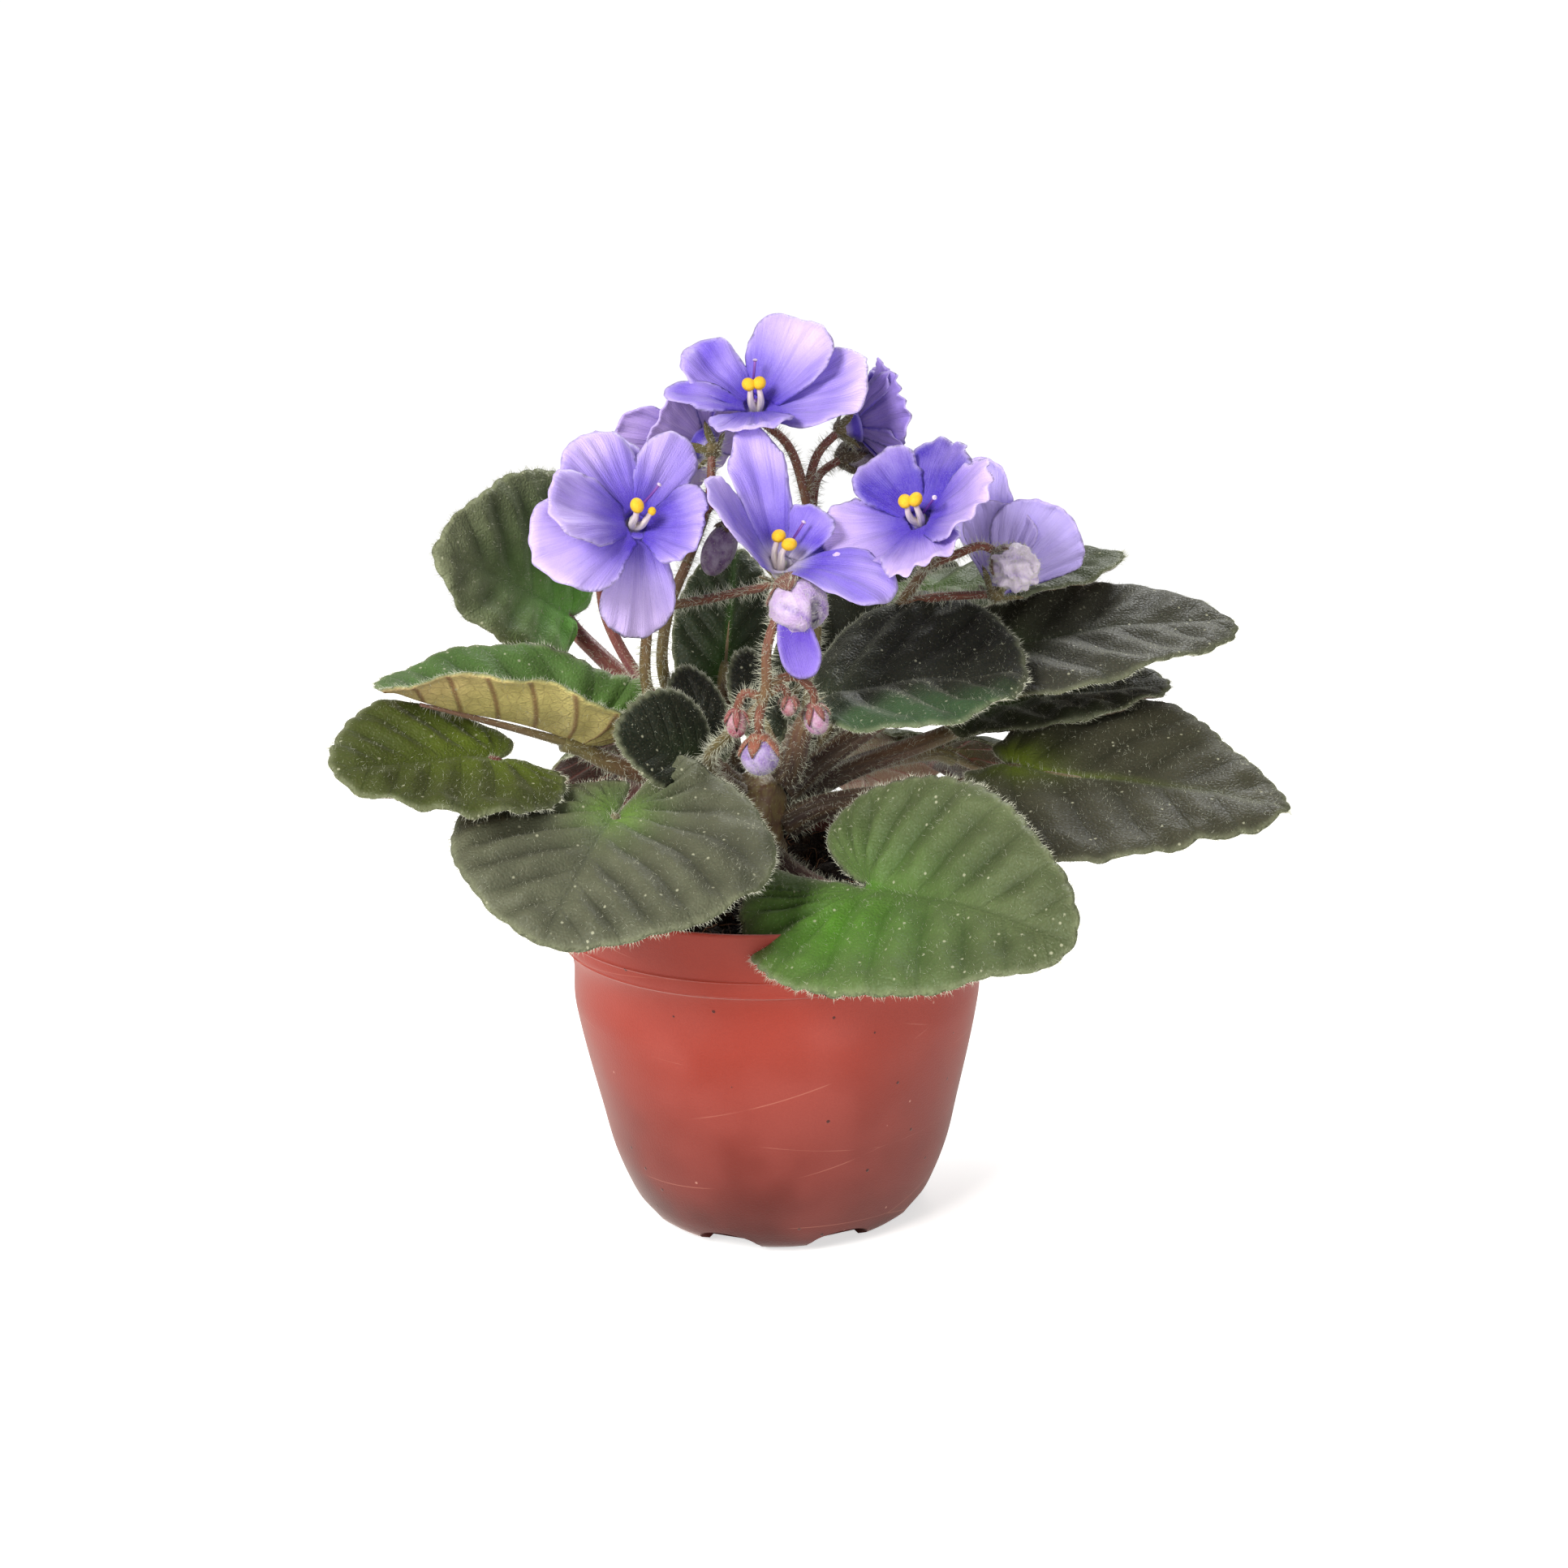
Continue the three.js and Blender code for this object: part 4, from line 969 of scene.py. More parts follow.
# %% Leaf outline and veins
def leaf_outline(leaf, scallop=4.4, depth=0.75):
    """The flat outline about the joint, with its scallops."""
    angle = np.linspace(-np.pi, np.pi, 1441)[:-1]
    back = np.where(angle > 0, *leaf["lobes"])
    half = np.where(angle > 0, *leaf["half"])
    ahead_to = leaf_length(leaf) / (1 + leaf["point"])
    a = (ahead_to + back) / 2
    c = ahead_to - a
    ct, st = np.cos(angle), np.sin(angle)
    p, q, r = (ct / a) ** 2 + (st / half) ** 2, -2 * c * ct / a**2, (c / a) ** 2 - 1
    oval = (-q + np.sqrt(np.maximum(q * q - 4 * p * r, 0))) / (2 * p)
    gap = np.where(angle > 0, *leaf["notch"])
    notch = 1 - 0.94 * bell(np.pi - np.abs(angle), gap)
    reach = oval * notch * (1 + leaf["point"] * bell(angle, 0.3))
    line = np.stack([reach * ct, reach * st], 1)
    run = np.cumsum(np.linalg.norm(line - np.roll(line, 1, 0), axis=1))
    count = max(10, round(run[-1] / scallop))
    wander = 0.12 * waves(line, 40, seeded(str(leaf["tip"])))
    bump = np.abs(np.sin(np.pi * (run / run[-1] * count + wander))) ** 0.7
    away = smooth(np.pi - np.abs(angle), 0.25, 0.7)
    reach = reach + depth * (bump - 0.75) * away
    return np.stack([reach * ct, reach * st], 1)


def vein_order(leaf, along, across):
    """Which side vein each point is at, counted forwards. Whole numbers are veins."""
    run, length = np.abs(across), leaf_length(leaf)
    orders = np.arange(-6, 9) + 0.0
    late = np.where(across > 0, 0.0, 0.4)

    def passes(n):
        n = n + late
        lean = 0.25 + 0.11 * n + 0.45 * np.minimum(n, 0)
        return np.maximum(n, 0) * length / 5.6 + lean * run + 0.5 * run**2 / length

    found = np.full(len(along), orders[0])
    for n in orders:
        low, high = passes(n), passes(n + 1)
        share = (along - low) / np.maximum(high - low, 1e-3)
        found = np.where(along >= low, n + np.clip(share, 0, 1), found)
    return found


sample = LEAVES["leaf_right"]
print("scallops on leaf_right:", len(leaf_outline(sample)), "outline points; vein orders at 20 mm out:",
      vein_order(sample, np.array([-3.0, 10.0, 30.0]), np.array([20.0, 20.0, 20.0])).round(1))

# %% [markdown]
# ### Down
# Every green part of the plant is hairy. Hair systems would be dropped by an exporter, so each hair is a
# real sliver: a pyramid on a tiny triangle, four faces in all. Thousands of them join into one piece beside
# each leaf or stalk. They catch the light along every margin, where a material's sheen alone would leave a
# hard edge.

# %% Hair maker
def slivers(roots, ways, lengths, thickness, rng):
    """Closed hairs from their roots, along their ways."""
    n = len(roots)
    ways = unit(ways)
    u = unit(np.cross(ways, rng.normal(size=(n, 3))))
    w = np.cross(ways, u)
    foot = roots - 0.12 * ways
    corners = [foot + thickness / 2 * (math.cos(a) * u + math.sin(a) * w) for a in (0, 2.094, 4.189)]
    points = np.stack([*corners, roots + ways * lengths[:, None]], 1).reshape(-1, 3)
    each = np.array([[0, 2, 1], [0, 1, 3], [1, 2, 3], [2, 0, 3]])
    faces = (np.arange(n)[:, None, None] * 4 + each).reshape(-1, 3)
    return points, faces, {}


def sprout(part, per_mm2, length, rng, where=None, lean=0.5, thickness=0.06):
    """Hairs that stand on a part's surface, or on those of its faces that where picks."""
    points, faces, _ = part
    if where is not None:
        faces = faces[where[faces].all(1)]
    a, b, c = (points[faces[:, k]] for k in range(3))
    normal = np.cross(b - a, c - a)
    area = np.linalg.norm(normal, axis=1) / 2
    count = int(area.sum() * per_mm2)
    chosen = rng.choice(len(faces), count, p=area / area.sum())
    u, v = rng.random((2, count, 1))
    over = (u + v) > 1
    u, v = np.where(over, 1 - u, u), np.where(over, 1 - v, v)
    roots = a[chosen] + u * (b - a)[chosen] + v * (c - a)[chosen]
    ways = unit(normal[chosen]) + lean * rng.normal(size=(count, 3))
    return slivers(roots, ways, length * rng.uniform(0.55, 1.25, count), thickness, rng)


white_hair, tree = new_material("plant hair")
# Painted sheen: the hairs are paler where they are seen edge-on.
painted_sheen = add(tree, "ShaderNodeLayerWeight", {"Blend": 0.35}).outputs["Facing"]
colour = tinted(tree, painted_sheen, shade(206, 208, 184), shade(236, 236, 222))
surface(tree, colour, 0.55, Specular_IOR_Level=0.3)
print("hair material ready")

# %% [markdown]
# ### Growing the leaves
# The tones below are painted at each leaf's points: main is the blade's green, joint the fresh green where
# the stalk comes in, reach how far that spreads, glow its middle where that is off the joint, and streak
# how far it runs along the midrib. quilt is how deep the puckers are, groove how much painted shade darkens
# the valleys between them, scallop how deep the margin is cut, side a second green on the left half, and
# under the lower face. The young leaves, leaf_right_under and the undersides of the leaves low at the back
# are painted dark as painted shade, and the folded leaf's underside is painted pale as painted light. The
# stalk leaves the crown, bows up and meets the blade from below, then goes on as a rib; it is painted darker
# towards the crown, as painted shade.

# %% Leaf tones
# Young leaves in the heart of the rosette are painted near black: painted shade.
YOUNG_IN_SHADE = dict(main=(12, 18, 10), joint=(26, 42, 18), reach=5, streak=5, quilt=0.5)
TONES = {
    "leaf_front_left": dict(
        main=(98, 101, 80), joint=(112, 158, 52), reach=6, streak=4, quilt=1.1, groove=0.4, scallop=0.3,
    ),
    "leaf_front_right": dict(
        main=(92, 102, 68), joint=(84, 140, 34), reach=17, streak=14, glow=(2, 12), quilt=1.1,
        groove=0.4,
    ),
    "leaf_right": dict(main=(64, 64, 49), joint=(136, 160, 36), reach=5, streak=13, quilt=0.7),
    "leaf_right_upper": dict(main=(60, 61, 50), joint=(90, 120, 50), reach=6, streak=8),
    "leaf_centre_right": dict(
        main=(34, 38, 30), joint=(44, 54, 36), reach=6, streak=3, quilt=1.0, side=(62, 94, 58),
    ),
    "leaf_left_upper": dict(main=(118, 120, 94), joint=(136, 220, 88), reach=17),
    "leaf_left_low": dict(main=(66, 74, 30), joint=(96, 116, 30), reach=14, streak=12),
    # The folded leaf's underside is painted pale: painted light on a face that lies in shade.
    "leaf_left_folded": dict(
        main=(84, 118, 58), joint=(96, 134, 54), reach=12, streak=8, quilt=0.6, under=(244, 226, 146),
    ),
    "leaf_middle": dict(main=(32, 46, 24), joint=(66, 116, 30), reach=5, streak=18),
    "leaf_young_back": YOUNG_IN_SHADE,
    # Painted shade, as for the other young leaves.
    "leaf_young_left": dict(main=(17, 27, 14), joint=(30, 50, 20), reach=5, streak=5, quilt=0.5),
    "leaf_young_right": YOUNG_IN_SHADE,
    "leaf_back_middle": dict(main=(40, 46, 34), joint=(54, 62, 38), quilt=0.5),
    # The next three are painted dark: painted shade low in the rosette, behind and under the other leaves.
    "leaf_back_low_left": dict(under=(58, 38, 32)),
    "leaf_back_low_right": dict(under=(50, 34, 28)),
    "leaf_right_under": dict(main=(48, 54, 40), under=(56, 44, 34)),
}
OTHER_TONE = dict(main=(68, 78, 50), joint=(88, 126, 44), reach=9, streak=10, glow=(0, 0), quilt=0.9,
                  groove=0.32, scallop=0.55, under=(134, 118, 92))
STALK_RED, STALK_BROWN, STALK_GREEN = (122, 56, 58), (112, 76, 58), (112, 108, 62)
print(len(TONES), "leaves have tones of their own")

# %% Leaf grower
STALK_R = 2.7
BIG_LEAF = 30  # blades longer than this have the full detail
# for a big and a small blade: length of a scallop, spacing of points along the margin and inside it,
# thickness, and the share of the swelling
BIG_BLADE, SMALL_BLADE = (4.4, 0.55, 0.85, 1.1, 1), (2.6, 0.4, 0.6, 0.8, 0.5)
# hairs to each point of the margin, then to each square mm of the upper face, the lower face and the stalk
MARGIN_HAIRS, TOP_HAIRS, UNDER_HAIRS, STALK_HAIRS = 2.75, 0.45, 0.12, 1.5
RED_STALKED = (
    "leaf_left_upper", "leaf_left_low", "leaf_left_behind", "leaf_back_low_left", "leaf_front_right",
)


def blade_part(name, leaf, tone):
    """The blade as a closed sheet with its quilting and painted values."""
    lay, length = leaf_sheet(leaf), leaf_length(leaf)
    scallop_run, rim_pitch, pitch, thickness, swing = BIG_BLADE if length > BIG_LEAF else SMALL_BLADE
    rng = seeded(name)
    phase = rng.uniform(0, 1)
    gx, gy = tone["glow"]
    patch = seeded(name + "patch")

    def lift(x, y, rim):
        order = vein_order(leaf, x, y)
        swell = 0.5 - 0.5 * np.cos(2 * np.pi * order)
        inside = smooth(np.abs(y), 0.6, 5) * smooth(rim, 0.4, 6)
        cross = np.sin(2 * np.pi * (np.abs(y) / 5.4 + phase + 0.3 * np.floor(order)))
        flat = np.stack([x, y], 1)
        droop = 0.9 * (1 - smooth(rim, 0, 5)) ** 2
        wavy = waves(flat, 11, seeded(name + "rim")) * (1 - smooth(rim, 0, 9))
        rib = 0.75 * bell(y, 1.4) * (1 - 0.6 * np.clip(x / length, 0, 1)) * smooth(x, -2, 1)
        rise = tone["quilt"] * (1.3 * swell - 0.6 + 0.14 * cross * swell) * inside
        sway = waves(flat, 24, seeded(name + "sway"))
        return (rise - rib - droop + 0.6 * wavy + 0.5 * sway) * swing

    def values(x, y, rim, side):
        flat = np.stack([x, y], 1)
        near = np.exp(-((np.hypot((x - gx) * 0.8, y - gy) / tone["reach"]) ** 1.5))
        streak = bell(y, 1.3) * np.exp(-np.maximum(x, 0) / tone["streak"]) * smooth(x, -3, 0)
        if side > 0:
            patches = smooth(waves(flat, 16, patch), -1, 1)
            tint = mix(shade(*tone["main"]), shade(*tone["main"]) * 0.84, patches)
            # Painted shade along the veins, where the quilting dips.
            valley = (0.5 + 0.5 * np.cos(2 * np.pi * vein_order(leaf, x, y))) ** 1.6
            shadow = tone["groove"] * valley * smooth(np.abs(y), 1, 6) * smooth(rim, 0.5, 8)
            tint = tint * (1 - shadow)[:, None]
            if "side" in tone:
                tint = mix(tint, shade(*tone["side"]), smooth(y, 2, 16) * 0.8)
            tint = mix(tint, shade(*tone["joint"]), np.maximum(near * 0.85, streak * 0.9))
            tint = mix(tint, shade(170, 176, 140), 0.45 * bell(rim, 0.7))
        else:
            base = shade(*tone["under"])
            tint = mix(base, shade(176, 128, 120), smooth(np.hypot(x, y), 0.5 * length, 1.1 * length) * 0.6)
            tint = mix(tint, shade(150, 150, 90), near * 0.5)
        return {"tint": tint, "along": x, "across": y, "order": vein_order(leaf, x, y),
                "blade": np.full(len(x), side)}

    outline = resample(leaf_outline(leaf, scallop_run, tone["scallop"]), rim_pitch)
    return sheet(outline, pitch, lay, lift, thickness, values), outline


def stalk_path(leaf):
    """The stalk's path from the crown's surface to the joint: one cubic curve."""
    base = np.array(leaf["base"], float)
    lay = leaf_sheet(leaf)
    inwards = lay(np.array([0.5, 4.0]), np.array([0.0, 0.0]))
    way = unit(inwards[0] - base)
    out = unit(np.array([base[0] - CROWN[0], base[1] - CROWN[1], 0]))
    start = np.array([CROWN[0], CROWN[1], leaf["grows"]]) + out * (CROWN_R - 0.3)
    reach = np.linalg.norm(base - start)
    normal = leaf_axes(leaf)[2]
    first = start + 0.22 * reach * out + [0, 0, leaf["rise"] * reach]
    dip = math.radians(leaf["dip"])
    arrive = way * math.cos(dip) + normal * math.sin(dip)
    last = base - 0.35 * reach * arrive
    t = np.linspace(0, 1, 7)[:, None]
    end = base - 2.1 * normal
    bow = (1 - t) ** 3 * start + 3 * (1 - t) ** 2 * t * first + 3 * (1 - t) * t**2 * last + t**3 * end
    return curve_through(np.vstack([bow, inwards[1:] - 2.3 * normal]), 1.3)


def stalk_part(leaf, colours):
    """The leaf's stalk, and its rib along the underside of the blade."""
    path = stalk_path(leaf)
    length = leaf_length(leaf)
    size = 1 if length > BIG_LEAF else 0.62
    share = np.linspace(0, 1, len(path))
    radii = STALK_R * size * (1 - 0.42 * share) * (1 + 0.18 * np.exp(-share * 14))
    low, high = (shade(*c) for c in colours)

    def paint(s, turn):
        """From low to high along the stalk, with painted shade towards the heart of the rosette."""
        # Painted shade: the colour falls to 0.14 of itself where the stalk leaves the crown.
        light = 0.14 + 0.86 * smooth(s, 0.1, 0.75)
        return mix(low, high, smooth(s + 0.06 * np.sin(turn), 0.45, 1.05)) * light[:, None]

    stalk = tube(path, radii, 16, paint)
    t = np.linspace(0.5, 0.8 * length, 22)
    normal = leaf_axes(leaf)[2]
    rib = leaf_sheet(leaf)(t, np.zeros(22)) - normal * (0.9 + 0.9 * size)
    rib_radii = size * np.linspace(1.0, 0.35, 22)
    return gather([stalk, tube(rib, rib_radii, 8, lambda s, turn: mix(high, shade(150, 104, 92), s))])


def grow_leaf(name, leaf):
    """Blade, stalk and down of one leaf."""
    tone = {**OTHER_TONE, **TONES.get(name, {})}
    blade, outline = blade_part(name, leaf, tone)
    stalk = stalk_part(leaf, (STALK_RED, STALK_RED) if name in RED_STALKED else (STALK_BROWN, STALK_GREEN))
    piece(name + "_grown", [(blade, foliage), (stalk, stalk_skin)], name)
    rng = seeded(name + "down")
    lay = leaf_sheet(leaf)
    size = 1 if leaf_length(leaf) > BIG_LEAF else 0.6
    picked = rng.integers(0, len(outline), int(MARGIN_HAIRS * len(outline)))
    spot = outline[picked] + rng.uniform(-0.2, 0.2, (len(picked), 2))
    points = blade[0][picked]
    outwards = unit(lay(*(spot * 1.03).T) - lay(*(spot * 0.99).T))
    ways = outwards + 0.45 * rng.normal(size=(len(picked), 3))
    margin = slivers(points, ways, size * rng.uniform(0.5, 1.5, len(picked)), 0.085, rng)
    nap = sprout(blade, TOP_HAIRS, 0.75 * size, rng, blade[2]["blade"] > 0.5, 0.5, 0.05)
    below = sprout(blade, UNDER_HAIRS, 1.0 * size, rng, blade[2]["blade"] < -0.5, 0.5, 0.06)
    shaft = sprout(stalk, STALK_HAIRS, 1.6 * size, rng, None, 0.35, 0.085)
    piece(name + "_down", [(gather([margin, nap, below, shaft]), white_hair)], None, False)


for name, leaf in LEAVES.items():
    grow_leaf(name, leaf)
print("leaves:", sum(added[n + "_grown"] for n in LEAVES), "triangles, their down:",
      sum(added[n + "_down"] for n in LEAVES))

# %% [markdown]
# ## The flowers
# A bloom is five petals, here and there with an extra crest, that grow together into a short funnel. Its
# place at and the way it faces, az and el, are the solid's. ruffle is how wavy its margins are, and pale,
# deep, throat and back stand in for the common colours. Each petal has its angle round the throat, its
# length, width, tilt forwards, curl and cupping, and last a tone from 0, deep violet, to 1, pale lavender.

# %% Bloom numbers
BLOOMS = {
    "left": dict(at=(-24, -16, 144), az=28, el=32, ruffle=0.35, petals=[
        (118, 17, 17, 14, -6, 15, 0.62), (91, 18, 11, 3, -13, 15, 0.5), (48, 18, 11, 16, -8, 15, 0.5),
        (-30, 13, 17, 42, 8, 15, 0.45), (-96, 20, 15, -15, -25, 15, 1.0), (172, 19, 15, 26, -4, 15, 0.6),
        (195, 21, 20, 7, -7, 15, 0.85)]),
    "top": dict(at=(-1, 8, 163), az=-4, el=52, ruffle=0.35, petals=[
        (144, 16, 13, 26, 0, 20, 0.35), (50, 18, 19, 35, 0, 20, 0.7), (-2, 22, 21, 11, 20, 15, 0.65),
        (-89, 17, 17, 29, 7, 15, 0.5), (188, 17, 8, 29, -13, 15, 0.3)]),
    "centre": dict(at=(3, -18, 136), az=3, el=64, ruffle=0.45, throat=(232, 224, 240), petals=[
        (104, 26, 11, 45, -9, 20, 0.5), (184, 21, 19, 48, 21, 20, 0.45), (-34, 22, 14, 22, -38, 20, 0.3),
        (44, 11.5, 12, 44, -8, 20, 0.1), (18, 14, 12, 4, -12, 20, 0.1)]),
    "right": dict(at=(29, -14, 143), az=-30, el=43, ruffle=0.8, pale=(216, 190, 248), deep=(52, 24, 160),
                  petals=[
        (138, 14, 13, 31, -2, 20, 0.12), (80, 15, 13, 26, -21, 20, 0.02), (-1, 19, 18, 32, 6, 20, 0.75),
        (219, 17, 19, 16, 14, 15, 1.0), (-61, 19, 16, 18, 19, 15, 1.0)]),
    "far_right": dict(at=(47, 8, 127), az=144, el=40, ruffle=0.4, back=(196, 182, 255), petals=[
        (62, 24, 19, 45, 0, 15, 0.5), (89, 15, 17, 36, 0, 15, 0.5), (141, 18, 20, 35, 0, 15, 0.5),
        (-30, 15, 16, 50, 0, 15, 0.5), (-100, 14, 16, 55, 0, 15, 0.5)]),
    "back_left": dict(at=(-12, 16, 155), az=219, el=19, ruffle=0.5, back=(176, 148, 216), petals=[
        (160, 14, 15, 16, 0, 15, 0.4), (77, 9, 13, 23, 0, 15, 0.3), (23, 12, 16, 7, 0, 15, 0.5),
        (-8, 17, 17, 23, 0, 15, 0.5), (232, 14, 19, 29, 0, 15, 0.3)]),
    "top_right": dict(at=(19, 14, 158), az=100, el=10, ruffle=0.9, back=(96, 66, 178), deep=(74, 42, 180),
                      petals=[
        (90, 12, 15, 40, 0, 20, 0.2), (18, 13, 15, 40, 0, 20, 0.3), (-55, 13, 15, 35, 0, 20, 0.3),
        (162, 13, 15, 40, 0, 20, 0.15), (235, 12, 14, 35, 0, 20, 0.2)]),
}
DEEP_VIOLET, PALE_LAVENDER = (84, 50, 204), (222, 198, 255)
THROAT_VIOLET, PETAL_BACK = (58, 22, 186), (182, 160, 242)
print(sum(len(bloom["petals"]) for bloom in BLOOMS.values()), "petals")

# %% [markdown]
# ### Petal material
# Petals owe their sparkle to cone-shaped skin cells that catch the light, so they get a fine grain, whose
# pale specks are painted glints, and a soft sheen. Darker lines fan out from the throat, strongest near it.
# The lines are two layers of streaks, one coarse and one fine, that follow each petal's own fan. A pale band
# along the margin is a painted highlight.

# %% Petal material
petal_skin, tree = new_material("petal")
place = place_in_mm(tree)
along, fan = read(tree, "along"), read(tree, "fan")
lines = use(tree, streaks, Across=fan, Along=along, Fineness=2.6, Run=0.1)["Lines"]
fine = use(tree, streaks, Across=fan, Along=along, Fineness=7.0, Run=0.16)["Lines"]
uneven = use(tree, mottle, Place=place, Patch_size=3.2, Grain_size=0.22)
tint = read(tree, "tint", "Color")
near = ramp(tree, along, 2.0, 13.0, 0.5, 0.06)
colour = washed(tree, lines, near, tint, tinted(tree, 0.7, tint, shade(88, 56, 190)))
colour = washed(tree, fine, 0.2, colour, tinted(tree, 0.5, tint, shade(120, 92, 214)))
lit = tinted(tree, 0.12, colour, shade(232, 220, 255))
colour = washed(tree, uneven["Patches"], 0.5, colour, lit)
# Painted glints: the fine grain lightens the colour in tiny specks.
colour = washed(tree, uneven["Grain"], 0.5, colour, lit)
relief = sum_of(tree, "ADD", times(tree, fine, 0.5), times(tree, uneven["Grain"], 0.35))
relief = sum_of(tree, "ADD", relief, times(tree, lines, 0.5))
surface(tree, colour, ramp(tree, uneven["Grain"], 0, 1, 0.62, 0.45), relief, 0.09, Specular_IOR_Level=0.35,
        Sheen_Weight=0.14, Sheen_Roughness=0.5, Sheen_Tint=(0.8, 0.75, 1.0, 1))
print("petal material ready")

# %% [markdown]
# ### Petals
# A petal's flat outline narrows towards the throat and ends round. It is bent twice: along its length by
# tilt and curl, and across by cupping. Then the margin is ruffled, a shallow fold runs down the middle, and
# finer folds fan out on both sides of it.

# %% Petal maker
PETAL_THICK = 0.42


def bloom_axes(bloom):
    """Two axes in the plane of the bloom, to its right and upwards, and the way it faces."""
    az, el = math.radians(bloom["az"]), math.radians(bloom["el"])
    facing = np.array([math.sin(az) * math.cos(el), -math.cos(az) * math.cos(el), math.sin(el)])
    right = np.array([math.cos(az), math.sin(az), 0])
    return right, np.cross(facing, right), facing


def petal_width(u):
    """Half width along the length, as a share of the widest."""
    round_end = np.sqrt(np.maximum(0, 1 - (np.maximum(u - 0.56, 0) / 0.44) ** 2.3))
    narrowing = 0.42 + 0.58 * np.sin(np.minimum(u / 0.56, 1) * np.pi / 2) ** 1.3
    return np.where(u > 0.56, round_end, narrowing)


def petal_part(bloom, numbers, rng):
    """One petal as a closed sheet with its painted values."""
    angle, length, width, tilt, curl, cup, tone = numbers
    right, up, facing = bloom_axes(bloom)
    a, tilt = math.radians(angle), math.radians(tilt)
    out_way = right * math.cos(a) + up * math.sin(a)
    side_way = right * math.sin(a) - up * math.cos(a)
    bend = (math.radians(curl) if curl else 1e-4) / length
    bow = math.radians(cup) / (width / 2)

    def lay(x, y):
        turn = tilt + bend * x
        out = (np.sin(turn) - math.sin(tilt)) / bend
        rise = (math.cos(tilt) - np.cos(turn)) / bend
        lift = (1 - np.cos(bow * y)) / bow
        outwards = (2 + out - np.sin(turn) * lift)[:, None] * out_way
        forwards = (rise + np.cos(turn) * lift)[:, None] * facing
        return np.array(bloom["at"]) + outwards + forwards + (np.sin(bow * y) / bow)[:, None] * side_way

    u = np.concatenate([np.linspace(0, 0.56, 22), 1 - 0.44 * np.cos(np.linspace(0, np.pi / 2, 34))[1:]])
    half = width / 2 * petal_width(u)
    half[-1] = 0
    outline = resample(strap(u * length, half, None), 0.5)
    middle = np.array([length * 0.5, 0])
    away = unit(outline - middle)
    nicks = (waves(outline, 2.6, rng) * 0.22 + waves(outline, 6, rng) * 0.3) * bloom["ruffle"]
    wander = waves(outline, 14, rng) * 0.35
    outline = outline + away * ((nicks + wander) * smooth(outline[:, 0], 2, 6))[:, None]
    ruffle = 1.5 * bloom["ruffle"]
    spoke = rng.uniform(0, 6.28, 4)

    def lift(x, y, rim):
        flat = np.stack([x, y], 1)
        loose = smooth(x, 0.25 * length, 0.75 * length)
        turn = np.arctan2(y, x + 4)
        frill = np.sin(turn * 27 + spoke[0] + 1.6 * np.sin(turn * 7 + spoke[1])) * (1 - smooth(rim, 0, 2.6))
        folds = 0.16 * np.sin(turn * 34 + spoke[2]) + 0.22 * np.sin(turn * 13 + spoke[3])
        crease = -0.55 * bell(y, 1.1) * smooth(x, 0, 4) * (1 - 0.6 * smooth(x, 0.5 * length, length))
        sway = 0.55 * waves(flat, 15, seeded(f"sway{angle}{length}"))
        curl_back = -0.5 * (1 - smooth(rim, 0, 2.2)) ** 2
        return (ruffle * frill * 0.45 + sway + curl_back) * loose + folds * smooth(x, 1, 7) + crease

    def values(x, y, rim, side):
        flat = np.stack([x, y], 1)
        deep, pale = shade(*bloom.get("deep", DEEP_VIOLET)), shade(*bloom.get("pale", PALE_LAVENDER))
        share = tone + 0.16 * waves(flat, 12, seeded(f"tone{angle}")) + 0.34 * (x / length - 0.5)
        tint = mix(deep, pale, np.clip(share, 0, 1))
        if side > 0:
            glow = np.exp(-((np.maximum(x - 0.5, 0) / (0.46 * length)) ** 1.8))
            tint = mix(tint, shade(*THROAT_VIOLET), 0.94 * glow)
            tint = mix(tint, shade(*bloom.get("throat", THROAT_VIOLET)), bell(x, 2.6))
            # Painted highlight: a pale band along the margin.
            tint = mix(tint, shade(224, 208, 252), 0.55 * bell(rim, 0.6) * smooth(x, 3, 8))
        else:
            back = shade(*bloom.get("back", PETAL_BACK))
            tint = mix(mix(back * 0.8, back, smooth(x, 0, 0.6 * length)), pale, 0.25)
        return {"tint": tint, "along": x, "fan": np.arctan2(y, x + 5) * 9}

    return sheet(outline, 0.6, lay, lift, PETAL_THICK, values)


# radius and height of the funnel, from its foot up the outside, over the lip and down into the throat
FUNNEL_PROFILE = [
    (0, -3.3), (1.5, -3.3), (1.8, -2.4), (2.3, -1.3), (3.1, -0.5), (3.5, 0.1), (3.3, 0.3), (2.5, -0.05),
    (1.8, -0.8), (1.3, -1.5), (0.8, -1.7), (0, -1.6),
]


def funnel_part(bloom):
    """The short funnel where the petals join, with a narrow tube behind it."""
    points, faces, _ = lathe(np.array(FUNNEL_PROFILE), 40)
    right, up, facing = bloom_axes(bloom)
    inside = smooth(points[:, 2], -3, -1) * smooth(4 - np.hypot(*points.T[:2]), 0, 1)
    tint = mix(shade(172, 158, 200), shade(*bloom.get("throat", THROAT_VIOLET)), inside)
    deep = (np.hypot(*points.T[:2]) < 1.4) & (points[:, 2] > -2)
    tint = mix(tint, shade(214, 204, 226), deep * 0.8)
    placed = np.array(bloom["at"]) + points @ np.array([right, up, facing])
    return placed, faces, {"tint": tint, "along": np.full(len(points), 12.0), "fan": np.zeros(len(points))}


for name, bloom in BLOOMS.items():
    rng = seeded("petals_" + name)
    petals = [petal_part(bloom, numbers, rng) for numbers in bloom["petals"]]
    corolla = gather([*petals, funnel_part(bloom)])
    piece("corolla_" + name, [(corolla, petal_skin)], "petals_" + name)
print("petals:", sum(added["corolla_" + n] for n in BLOOMS), "triangles")

